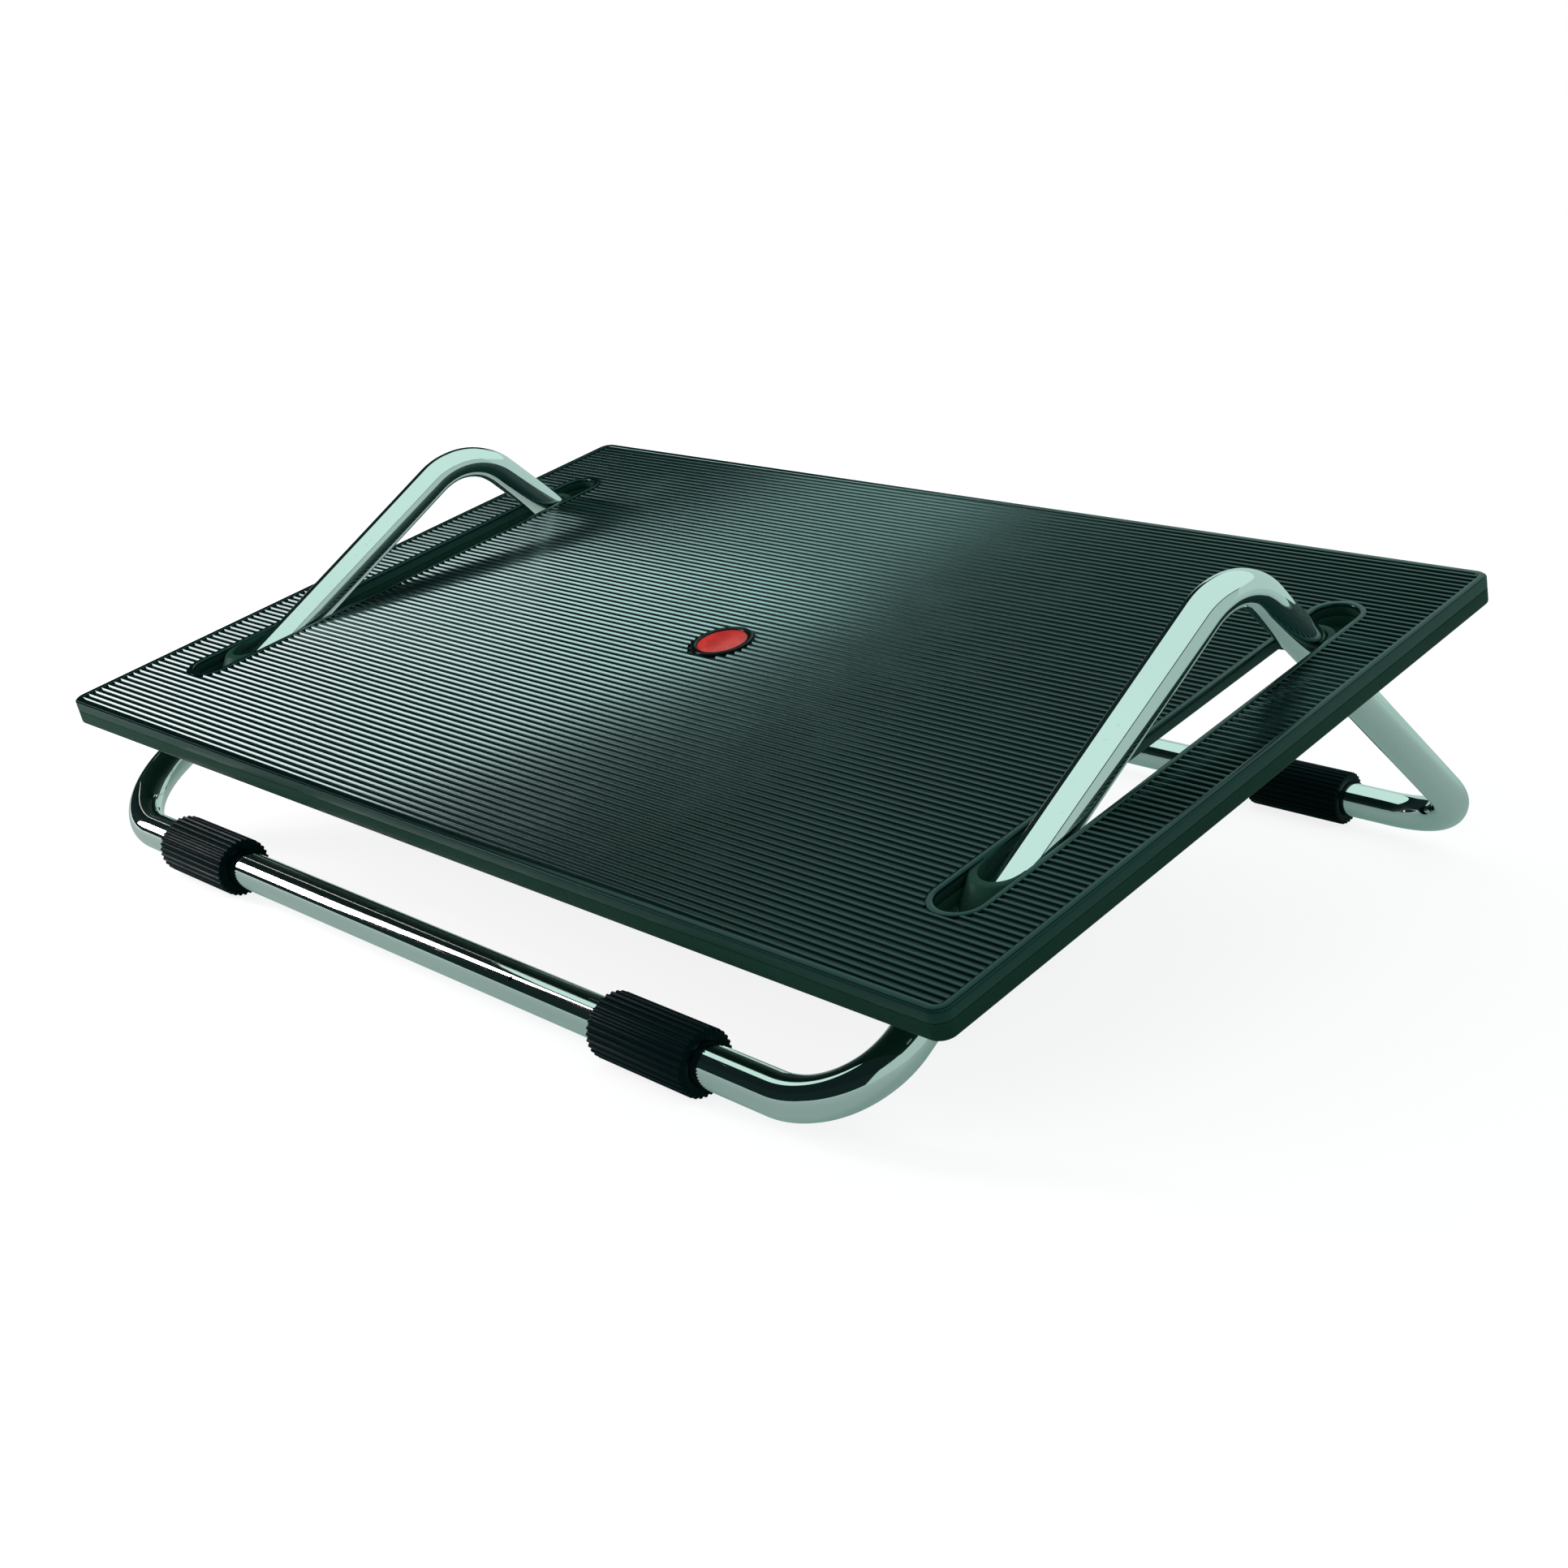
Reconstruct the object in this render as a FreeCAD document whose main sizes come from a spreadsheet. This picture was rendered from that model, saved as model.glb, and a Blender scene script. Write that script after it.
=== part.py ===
import FreeCAD, Part
import math
import os
import Sketcher

# Footrest: a tread plate that rocks on the two bent sides of a round tube frame.
# Row frame: X across, Y from front to rear, Z up, floor at z = 0, origin under the middle of the frame.

doc = FreeCAD.newDocument("footrest")
V3 = FreeCAD.Vector

# Sizes in mm and degrees, one named value each
SIZES = (
    ("plate_width", 480.0), ("plate_depth", 300.0), ("plate_height", 10.5), ("plate_corner", 5.5),
    ("seam_height", 5.9), ("skirt_wall", 2.2), ("top_wall", 2.2), ("tray_floor", 1.8), ("edge_break", 0.8),
    ("rim_inset", 0.5), ("rim_width", 2.6), ("rim_step", 0.45),
    ("rib_pitch", 3.0), ("rib_height", 0.8), ("rib_base", 1.7), ("rib_crest", 0.9), ("rib_end_gap", 1.0),
    ("rib_side_gap", 0.3), ("rib_root", 0.2),
    ("slot_width", 16.5), ("slot_length", 219.0), ("lip_width", 2.5),
    ("saddle_chord", 194.0), ("saddle_edge", 1.5), ("saddle_wall", 2.6), ("saddle_drop", 0.7),
    ("saddle_gap", 0.3), ("rest_tilt", 14.6),
    ("tube_diameter", 14.0), ("tube_wall", 1.2), ("side_inset", 33.5), ("leg_run", 179.5),
    ("leg_rise", 132.6), ("front_bend", 30.0), ("rear_bend", 40.0), ("apex_bend", 32.0),
    ("sleeve_diameter", 22.0), ("sleeve_length", 43.5), ("sleeve_inset", 81.5), ("sleeve_bevel", 0.6),
    ("flute_count", 32.0), ("flute_radius", 0.7), ("joint_inset", 72.5), ("spigot_length", 56.0),
    ("spigot_wall", 1.2), ("window_margin", 11.75), ("window_front", 45.0), ("window_rear", 9.0),
    ("window_corner", 6.0), ("saddle_lead", 3.5),
    ("vent_diameter", 1.6), ("vent_inset", 66.0), ("vent_angle", 50.0),
    ("badge_diameter", 24.5), ("badge_seat", 1.2), ("badge_floor", 0.8), ("badge_rise", 0.4),
    ("bezel_bevel", 0.6), ("inlay_bevel", 0.5), ("inlay_diameter", 19.8), ("inlay_dome", 0.5),
    ("screw_shank", 2.6), ("screw_head", 5.6), ("head_height", 2.0), ("head_seat", 2.7),
    ("boss_diameter", 8.4), ("screw_play", 0.3), ("screw_bite", 3.0), ("screw_bevel", 0.5),
    ("drive_span", 3.2), ("drive_width", 0.7), ("drive_depth", 1.0),
    ("screw_edge", 12.0), ("screw_inner", 62.0),
)

# Sizes that follow from the others: the frame is as wide as the plate's slots stand apart
FORMULAS = (
    ("side_spacing", "=plate_width - 2 * side_inset"),
    ("sleeve_place", "=side_spacing / 2 - sleeve_inset"),
    ("joint_place", "=side_spacing / 2 - joint_inset"),
    ("vent_place", "=sleeve_place - vent_inset"),
)

sheet = doc.addObject("Spreadsheet::Sheet", "Sizes")
for row, (alias, value) in enumerate(SIZES + FORMULAS, start=1):
    sheet.set("A%d" % row, alias)
    sheet.set("B%d" % row, str(value))
    sheet.setAlias("B%d" % row, alias)
    sheet.recompute()
doc.recompute()


def size(alias):
    return float(sheet.get(alias))


def expr(text):
    """Put the sheet's name before each alias in a formula."""
    words = text.split(" ")
    names = [alias for alias, _ in SIZES + FORMULAS]
    return " ".join("Sizes." + w if w in names else w for w in words)


# Sketch helpers: every dimension is a named constraint bound to the sheet

def new_body(label):
    body = doc.addObject("PartDesign::Body", label)
    body.Label = label
    return body


def plane_of(body, role):
    return next(f for f in body.Origin.OriginFeatures if f.Role == role)


def new_sketch(body, name, role="XY_Plane", height=None):
    sk = body.newObject("Sketcher::SketchObject", name)
    sk.AttachmentSupport = [(plane_of(body, role), "")]
    sk.MapMode = "FlatFace"
    if height is not None:
        sk.setExpression("AttachmentOffset.Base.z", expr(height))
    return sk


def bind(sk, constraint, formula):
    index = sk.addConstraint(constraint)
    name = "dim%d" % index
    sk.renameConstraint(index, name)
    sk.setExpression("Constraints." + name, expr(formula))
    return index


def draw_round_rectangle(sk, width, depth, radius, width_formula, depth_formula, radius_formula):
    """Rectangle with round corners, centred on the sketch's origin."""
    w, d, r = width / 2, depth / 2, radius
    z = V3(0, 0, 1)
    first = sk.GeometryCount
    middles = [(w - r, r - d), (w - r, d - r), (r - w, d - r), (r - w, r - d)]
    starts = [(r - w, -d), (w, r - d), (w - r, d), (-w, d - r)]
    ends = [(w - r, -d), (w, d - r), (r - w, d), (-w, r - d)]
    for k in range(4):
        sk.addGeometry(Part.LineSegment(V3(*starts[k], 0), V3(*ends[k], 0)), False)
        turn = (k - 1) * math.pi / 2
        circle = Part.Circle(V3(*middles[k], 0), z, r)
        sk.addGeometry(Part.ArcOfCircle(circle, turn, turn + math.pi / 2), False)
    for k in range(8):
        sk.addConstraint(Sketcher.Constraint("Tangent", first + k, 2, first + (k + 1) % 8, 1))
    for k in (0, 4):
        sk.addConstraint(Sketcher.Constraint("Horizontal", first + k))
        sk.addConstraint(Sketcher.Constraint("Vertical", first + k + 2))
    for k in (3, 5, 7):
        sk.addConstraint(Sketcher.Constraint("Equal", first + 1, first + k))
    sk.addConstraint(Sketcher.Constraint("Symmetric", first + 1, 3, first + 5, 3, -1, 1))
    bind(sk, Sketcher.Constraint("Radius", first + 1, r), radius_formula)
    bind(sk, Sketcher.Constraint("DistanceX", first + 6, 1, first + 2, 1, width), width_formula)
    bind(sk, Sketcher.Constraint("DistanceY", first, 1, first + 4, 1, depth), depth_formula)


def draw_slot(sk, side, width, length, width_formula, length_formula):
    """Round-ended slot along Y, half the side spacing to the left or right of the origin."""
    first = sk.GeometryCount
    r = width / 2
    x = side * size("side_spacing") / 2
    y = length / 2 - r
    z = V3(0, 0, 1)
    sk.addGeometry(Part.ArcOfCircle(Part.Circle(V3(x, y, 0), z, r), 0, math.pi), False)
    sk.addGeometry(Part.LineSegment(V3(x - r, y, 0), V3(x - r, -y, 0)), False)
    sk.addGeometry(Part.ArcOfCircle(Part.Circle(V3(x, -y, 0), z, r), math.pi, 2 * math.pi), False)
    sk.addGeometry(Part.LineSegment(V3(x + r, -y, 0), V3(x + r, y, 0)), False)
    for k in range(4):
        sk.addConstraint(Sketcher.Constraint("Tangent", first + k, 2, first + (k + 1) % 4, 1))
    sk.addConstraint(Sketcher.Constraint("Vertical", first + 1))
    sk.addConstraint(Sketcher.Constraint("Symmetric", first, 3, first + 2, 3, -1))
    bind(sk, Sketcher.Constraint("Radius", first, r), width_formula + " / 2")
    bind(sk, Sketcher.Constraint("DistanceY", first + 2, 3, first, 3, 2 * y), length_formula)
    place = Sketcher.Constraint("DistanceX", -1, 1, first, 3, x) if side > 0 else \
        Sketcher.Constraint("DistanceX", first, 3, -1, 1, -x)
    bind(sk, place, "side_spacing / 2")


def draw_circle(sk, x, y, radius, radius_formula, x_formula=None, y_formula=None):
    """Circle at a place given by formulas for its distances from the origin."""
    index = sk.addGeometry(Part.Circle(V3(x, y, 0), V3(0, 0, 1), radius), False)
    if x_formula is None and y_formula is None:
        sk.addConstraint(Sketcher.Constraint("Coincident", index, 3, -1, 1))
    else:
        for kind, value, formula in (("DistanceX", x, x_formula), ("DistanceY", y, y_formula)):
            if formula is None:
                axis = -1 if kind == "DistanceY" else -2
                sk.addConstraint(Sketcher.Constraint("PointOnObject", index, 3, axis))
            elif value > 0:
                bind(sk, Sketcher.Constraint(kind, -1, 1, index, 3, value), formula)
            else:
                bind(sk, Sketcher.Constraint(kind, index, 3, -1, 1, -value), formula)
    bind(sk, Sketcher.Constraint("Radius", index, radius), radius_formula)
    return index


def draw_profile(sk, points):
    """Closed outline; every corner is a pair of (value, formula) for its two distances from the origin."""
    count = len(points)
    first = sk.GeometryCount
    for k in range(count):
        a, b = points[k], points[(k + 1) % count]
        sk.addGeometry(Part.LineSegment(V3(a[0][0], a[1][0], 0), V3(b[0][0], b[1][0], 0)), False)
    for k in range(count):
        sk.addConstraint(Sketcher.Constraint("Coincident", first + k, 2, first + (k + 1) % count, 1))
    for k in range(count):
        for kind, axis, (value, formula) in zip(("DistanceX", "DistanceY"), (-2, -1), points[k]):
            if abs(value) < 1e-9:
                sk.addConstraint(Sketcher.Constraint("PointOnObject", first + k, 1, axis))
            elif value > 0:
                bind(sk, Sketcher.Constraint(kind, -1, 1, first + k, 1, value), formula)
            else:
                bind(sk, Sketcher.Constraint(kind, first + k, 1, -1, 1, -value), "-( " + formula + " )")


def pad(body, sk, name, length, reverse=False, both=False):
    f = body.newObject("PartDesign::Pad", name)
    f.Profile = sk
    f.setExpression("Length", expr(length))
    f.Reversed = reverse
    f.Midplane = both
    return f


def pocket(body, sk, name, length=None, reverse=False, both=False):
    f = body.newObject("PartDesign::Pocket", name)
    f.Profile = sk
    if length is None:
        f.Type = "ThroughAll"
    else:
        f.setExpression("Length", expr(length))
    f.Reversed = reverse
    f.Midplane = both
    return f


# Where the plate lies: both pairs of saddle edges rest on the upper sides of the legs

SLOPE = math.atan2(size("leg_rise"), size("leg_run"))
BAR_HEIGHT = size("sleeve_diameter") / 2
TUBE_RADIUS = size("tube_diameter") / 2


def plate_origin(tilt_deg):
    """Y and Z of the middle of the plate's underside at one tilt, with the saddle gap at both legs."""
    t = math.radians(tilt_deg)
    half, edge = size("saddle_chord") / 2, size("saddle_edge")
    apex_z = BAR_HEIGHT + size("leg_rise")
    reach = size("saddle_gap") + TUBE_RADIUS + apex_z * math.cos(SLOPE)
    front_y, front_z = -half * math.cos(t) - edge * math.sin(t), -half * math.sin(t) + edge * math.cos(t)
    rear_y, rear_z = half * math.cos(t) - edge * math.sin(t), half * math.sin(t) + edge * math.cos(t)
    front = reach + front_y * math.sin(SLOPE) - front_z * math.cos(SLOPE)
    rear = reach - rear_y * math.sin(SLOPE) - rear_z * math.cos(SLOPE)
    return (rear - front) / (2 * math.sin(SLOPE)), (rear + front) / (2 * math.cos(SLOPE))


def turning_point(tilt_a, tilt_b):
    """Fixed point about which one turn takes the plate from one tilt to the other."""
    ya, za = plate_origin(tilt_a)
    yb, zb = plate_origin(tilt_b)
    a = math.radians(tilt_b - tilt_a)
    ym, zm = (ya + yb) / 2, (za + zb) / 2
    k = 1 / (2 * math.tan(a / 2))
    return ym - (zb - za) * k, zm + (yb - ya) * k


REST_Y, REST_Z = plate_origin(size("rest_tilt"))
PLATE_PLACE = FreeCAD.Placement(V3(0, REST_Y, REST_Z), FreeCAD.Rotation(V3(1, 0, 0), size("rest_tilt")))


# Screw places, shared by the tread, the tray and the screws

SCREW_PLACES = []
for sx in (-1, 1):
    for sy in (-1, 1):
        SCREW_PLACES.append((sx, sy, "plate_width / 2 - screw_edge", "plate_depth / 2 - screw_edge"))
        SCREW_PLACES.append((sx, sy, "screw_inner", "plate_depth / 2 - screw_edge"))


def screw_xy(place):
    sx, sy, fx, fy = place
    edge = size("screw_edge")
    x = size("screw_inner") if fx == "screw_inner" else size("plate_width") / 2 - edge
    return sx * x, sy * (size("plate_depth") / 2 - edge)


def draw_screw_circles(sk, radius, radius_formula):
    for place in SCREW_PLACES:
        x, y = screw_xy(place)
        draw_circle(sk, x, y, radius, radius_formula, place[2], place[3])


def draw_hollow(sk):
    """Inside of a shell: the walls round the slots and the screw bosses stay."""
    wall = size("skirt_wall")
    draw_round_rectangle(sk, size("plate_width") - 2 * wall, size("plate_depth") - 2 * wall,
                         size("plate_corner") - wall, "plate_width - 2 * skirt_wall",
                         "plate_depth - 2 * skirt_wall", "plate_corner - skirt_wall")
    for side in (-1, 1):
        draw_slot(sk, side, size("slot_width") + 2 * wall, size("slot_length") + 2 * wall,
                  "( slot_width + 2 * skirt_wall )", "slot_length - slot_width")
    draw_screw_circles(sk, size("boss_diameter") / 2, "boss_diameter / 2")


# Frame: two bent tube halves, joined on spigots under the left sleeves

def corner(points, radius):
    """Arc that rounds the corner between two straight lines, given by its three points."""
    a, v, b = points
    into = (v - a).normalize()
    out = (b - v).normalize()
    turn = into.getAngle(out)
    reach = radius * math.tan(turn / 2)
    inward = (out - into).normalize()
    middle = v + inward * (radius / math.cos(turn / 2) - radius)
    return v - into * reach, middle, v + out * reach


def tube_path(side, joint_x):
    """Centre line of one half: front bar, front leg, apex, rear leg, rear bar."""
    x = side * size("side_spacing") / 2
    run = size("leg_run")
    vertices = [V3(joint_x, -run, BAR_HEIGHT), V3(x, -run, BAR_HEIGHT),
                V3(x, 0, BAR_HEIGHT + size("leg_rise")), V3(x, run, BAR_HEIGHT), V3(joint_x, run, BAR_HEIGHT)]
    radii = (size("front_bend"), size("apex_bend"), size("rear_bend"))
    edges = []
    last = vertices[0]
    for k, radius in enumerate(radii, start=1):
        start, middle, end = corner(vertices[k - 1:k + 2], radius)
        edges.append(Part.makeLine(last, start))
        edges.append(Part.Arc(start, middle, end).toShape())
        last = end
    edges.append(Part.makeLine(last, vertices[-1]))
    return Part.Wire(edges)


def tube_half(label, side, joint_x):
    path = tube_path(side, joint_x)
    start = path.OrderedVertexes[0].Point
    along = V3(side, 0, 0)
    shapes = []
    for radius in (TUBE_RADIUS, TUBE_RADIUS - size("tube_wall")):
        ring = Part.Wire([Part.Circle(start, along, radius).toShape()])
        shapes.append(path.makePipeShell([ring], True, False))
    half = shapes[0].cut(shapes[1])
    if side > 0:
        turn = math.radians(size("vent_angle"))
        aim = V3(0, -math.sin(turn), math.cos(turn))
        start = V3(size("vent_place"), -size("leg_run"), BAR_HEIGHT)
        half = half.cut(Part.makeCylinder(size("vent_diameter") / 2, size("tube_diameter"), start, aim))
    solid = doc.addObject("Part::Feature", label)
    solid.Shape = half
    solid.Label = label
    return solid


def spigot(label, side):
    """Inner sleeve that joins the two tube ends."""
    body = new_body(label)
    sk = new_sketch(body, label + "_ring", "YZ_Plane")
    draw_circle(sk, 0, 0, TUBE_RADIUS - size("tube_wall"), "tube_diameter / 2 - tube_wall")
    draw_circle(sk, 0, 0, TUBE_RADIUS - size("tube_wall") - size("spigot_wall"),
                "tube_diameter / 2 - tube_wall - spigot_wall")
    pad(body, sk, label + "_pad", "spigot_length", both=True)
    body.setExpression("Placement.Base.x", expr("-( joint_place )"))
    body.setExpression("Placement.Base.y", expr("leg_run" if side > 0 else "-( leg_run )"))
    body.setExpression("Placement.Base.z", expr("sleeve_diameter / 2"))
    return body


def sleeve(label, side_x, side_y):
    """Fluted foot sleeve pushed over a bar."""
    body = new_body(label)
    outer = new_sketch(body, label + "_outline", "YZ_Plane")
    draw_circle(outer, 0, 0, size("sleeve_diameter") / 2, "sleeve_diameter / 2")
    grip = pad(body, outer, label + "_pad", "sleeve_length", both=True)
    doc.recompute()
    ends = body.newObject("PartDesign::Chamfer", label + "_ends")
    names = ["Edge%d" % k for k, e in enumerate(grip.Shape.Edges, start=1) if e.BoundBox.XLength < 1e-3]
    ends.Base = (grip, names)
    ends.setExpression("Size", expr("sleeve_bevel"))
    body.Tip = ends
    bore = new_sketch(body, label + "_bore", "YZ_Plane")
    draw_circle(bore, 0, 0, TUBE_RADIUS, "tube_diameter / 2")
    pocket(body, bore, label + "_bore_cut", "sleeve_length * 2", both=True)
    flute = new_sketch(body, label + "_flute", "YZ_Plane")
    half_step = math.pi / size("flute_count")
    r = size("sleeve_diameter") / 2
    index = flute.addGeometry(Part.Circle(V3(-r * math.sin(half_step), -r * math.cos(half_step), 0),
                                          V3(0, 0, 1), size("flute_radius")), False)
    bind(flute, Sketcher.Constraint("DistanceX", index, 3, -1, 1, r * math.sin(half_step)),
         "sleeve_diameter / 2 * sin( 180deg / flute_count )")
    bind(flute, Sketcher.Constraint("DistanceY", index, 3, -1, 1, r * math.cos(half_step)),
         "sleeve_diameter / 2 * cos( 180deg / flute_count )")
    bind(flute, Sketcher.Constraint("Radius", index, size("flute_radius")), "flute_radius")
    cut = pocket(body, flute, label + "_flute_cut", "sleeve_length * 2", both=True)
    ring = body.newObject("PartDesign::PolarPattern", label + "_flutes")
    ring.Originals = [cut]
    ring.Axis = (next(f for f in body.Origin.OriginFeatures if f.Role == "X_Axis"), [""])
    ring.Angle = 360
    ring.setExpression("Occurrences", expr("flute_count"))
    body.Tip = ring
    body.setExpression("Placement.Base.x", expr("sleeve_place" if side_x > 0 else "-( joint_place )"))
    body.setExpression("Placement.Base.y", expr("leg_run" if side_y > 0 else "-( leg_run )"))
    body.setExpression("Placement.Base.z", expr("sleeve_diameter / 2"))
    return body


# Plate: ribbed tread on top of a shallow tray

def tread_core():
    """Upper shell without its ribs: skirt, raised rim, slots with lips, badge seat and screw bosses."""
    body = new_body("tread_core")
    top = "plate_height - rim_step"
    width, depth = size("plate_width"), size("plate_depth")
    outline = new_sketch(body, "tread_outline", height="seam_height")
    draw_round_rectangle(outline, width, depth, size("plate_corner"),
                         "plate_width", "plate_depth", "plate_corner")
    pad(body, outline, "tread_slab", top + " - seam_height")

    inset = size("rim_inset")
    rim = new_sketch(body, "rim_outline", height=top)
    draw_round_rectangle(rim, width - 2 * inset, depth - 2 * inset, size("plate_corner") - inset,
                         "plate_width - 2 * rim_inset", "plate_depth - 2 * rim_inset",
                         "plate_corner - rim_inset")
    pad(body, rim, "rim_pad", "rim_step")

    field = inset + size("rim_width")
    low = new_sketch(body, "field_outline", height="plate_height")
    draw_round_rectangle(low, width - 2 * field, depth - 2 * field, size("plate_corner") - field,
                         "plate_width - 2 * ( rim_inset + rim_width )",
                         "plate_depth - 2 * ( rim_inset + rim_width )",
                         "plate_corner - rim_inset - rim_width")
    pocket(body, low, "field_cut", "rib_height")

    lip_w = size("slot_width") + 2 * size("lip_width")
    lip_l = size("slot_length") + 2 * size("lip_width")
    r = size("badge_diameter") / 2
    lips = new_sketch(body, "lip_outline", height="plate_height - rib_height")
    for side in (-1, 1):
        draw_slot(lips, side, lip_w, lip_l, "( slot_width + 2 * lip_width )", "slot_length - slot_width")
    pad(body, lips, "lip_pad", "rib_height")

    hollow = new_sketch(body, "tread_hollow", height="seam_height")
    draw_hollow(hollow)
    depth_inside = "plate_height - rib_height - top_wall - seam_height"
    pocket(body, hollow, "tread_hollow_cut", depth_inside, reverse=True)

    slots = new_sketch(body, "slot_outline", height="plate_height")
    for side in (-1, 1):
        draw_slot(slots, side, size("slot_width"), size("slot_length"),
                  "slot_width", "slot_length - slot_width")
    pocket(body, slots, "slot_cut", "plate_height * 2")

    seat = new_sketch(body, "badge_seat_outline", height="plate_height - rib_height")
    draw_circle(seat, 0, 0, r, "badge_diameter / 2")
    pocket(body, seat, "badge_seat_cut", "badge_seat")
    pilot = new_sketch(body, "pilot_holes", height="seam_height")
    draw_screw_circles(pilot, size("screw_shank") / 2, "screw_shank / 2")
    last = pocket(body, pilot, "pilot_cut", "screw_bite", reverse=True)
    body.Tip = last
    return body


def rib_sheet():
    """Ribs across the plate on a thin sheet, cleared round the slots and the badge."""
    body = new_body("rib_sheet")
    pitch, base, crest = size("rib_pitch"), size("rib_base") / 2, size("rib_crest") / 2
    count = rib_count()
    first = -(count - 1) / 2 * pitch
    z0, z1 = size("plate_height") - size("rib_height"), size("plate_height")
    mid = "-( " + str((count - 1) / 2) + " * rib_pitch )"
    ground = "plate_height - rib_height"
    length = "plate_width - 2 * ( rim_inset + rim_width + rib_end_gap )"
    sheet_length = size("plate_width") - 2 * (size("rim_inset") + size("rim_width") + size("rib_end_gap"))
    under = new_sketch(body, "sheet_outline", height=ground + " - rib_root")
    draw_round_rectangle(under, sheet_length, 2 * (base - first), base, length,
                         str(count - 1) + " * rib_pitch + rib_base", "rib_base / 2")
    pad(body, under, "sheet_pad", "rib_root")
    rib = new_sketch(body, "rib_section", "YZ_Plane")
    draw_profile(rib, [((first - base, mid + " - rib_base / 2"), (z0, ground)),
                       ((first + base, mid + " + rib_base / 2"), (z0, ground)),
                       ((first + crest, mid + " + rib_crest / 2"), (z1, "plate_height")),
                       ((first - crest, mid + " - rib_crest / 2"), (z1, "plate_height"))])
    one = pad(body, rib, "rib_pad", length + " - rib_base", both=True)
    rows = body.newObject("PartDesign::LinearPattern", "rib_rows")
    rows.Originals = [one]
    rows.Direction = (next(f for f in body.Origin.OriginFeatures if f.Role == "Y_Axis"), [""])
    rows.setExpression("Length", expr(str(count - 1) + " * rib_pitch"))
    rows.Occurrences = count
    body.Tip = rows
    gap = size("rib_end_gap")
    lip_w = size("slot_width") + 2 * size("lip_width")
    clear = new_sketch(body, "lip_clear", height="plate_height")
    for side in (-1, 1):
        length_clear = size("slot_length") + lip_w - size("slot_width") + 2 * gap
        draw_slot(clear, side, lip_w + 2 * gap, length_clear,
                  "( slot_width + 2 * lip_width + 2 * rib_end_gap )", "slot_length - slot_width")
    draw_circle(clear, 0, 0, size("badge_diameter") / 2 + gap, "badge_diameter / 2 + rib_end_gap")
    last = pocket(body, clear, "lip_clear_cut", "plate_height")
    body.Tip = last
    return body


def rib_count():
    """Number of rows that fit between the rims."""
    edge = size("rim_inset") + size("rim_width") + size("rib_side_gap")
    room = size("plate_depth") - 2 * edge - size("rib_base")
    return int(room / size("rib_pitch")) + 1


def saddle(name, end, side):
    """Half pipe in one end of a slot; its lower edge rides on a leg and its face stops the tilt."""
    turn = math.degrees(SLOPE) + size("rest_tilt")
    t = math.radians(turn)
    half, edge = size("saddle_chord") / 2, size("saddle_edge")
    inner = TUBE_RADIUS + size("saddle_gap")
    outer = inner + size("saddle_wall")
    x = side * size("side_spacing") / 2
    reach = 3 * size("plate_height")
    down = V3(0, end * math.cos(t), -math.sin(t))
    up = V3(0, end * math.sin(t), math.cos(t))
    start = V3(x, end * half, edge) - up * inner - down * reach
    pipe = doc.addObject("Part::Cylinder", name + "_pipe")
    pipe.setExpression("Radius", expr("tube_diameter / 2 + saddle_gap + saddle_wall"))
    pipe.setExpression("Height", expr("6 * plate_height"))
    pipe.Placement = FreeCAD.Placement(start, FreeCAD.Rotation(V3(0, 0, 1), down))
    bore = doc.addObject("Part::Cylinder", name + "_bore")
    bore.setExpression("Radius", expr("tube_diameter / 2 + saddle_gap"))
    bore.setExpression("Height", expr("6 * plate_height"))
    bore.Placement = pipe.Placement
    gate = doc.addObject("Part::Box", name + "_gate")
    gate.Length = 2 * outer + 2
    gate.Width = 2 * reach
    gate.Height = 2 * outer
    axes = FreeCAD.Rotation(V3(1, 0, 0), -end * turn)
    middle = start + down * reach
    gate.Placement = FreeCAD.Placement(middle - axes.multVec(V3(outer + 1, reach, 2 * outer)), axes)
    return pipe, bore, gate


def slot_prism(name, side):
    """Room of one slot from the saddles' lower edge to just under the rim."""
    body = new_body(name)
    sk = new_sketch(body, name + "_outline", height="saddle_edge")
    draw_slot(sk, side, size("slot_width"), size("slot_length"),
              "slot_width", "slot_length - slot_width")
    pad(body, sk, name + "_pad", "plate_height - saddle_drop - saddle_edge")
    return body


def tread_plate():
    """Upper shell with its ribs."""
    fused = doc.addObject("Part::Fuse", "tread_plate")
    fused.Base = tread_core()
    fused.Tool = rib_sheet()
    fused.Label = "tread_plate"
    fused.Placement = PLATE_PLACE
    return fused


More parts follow.
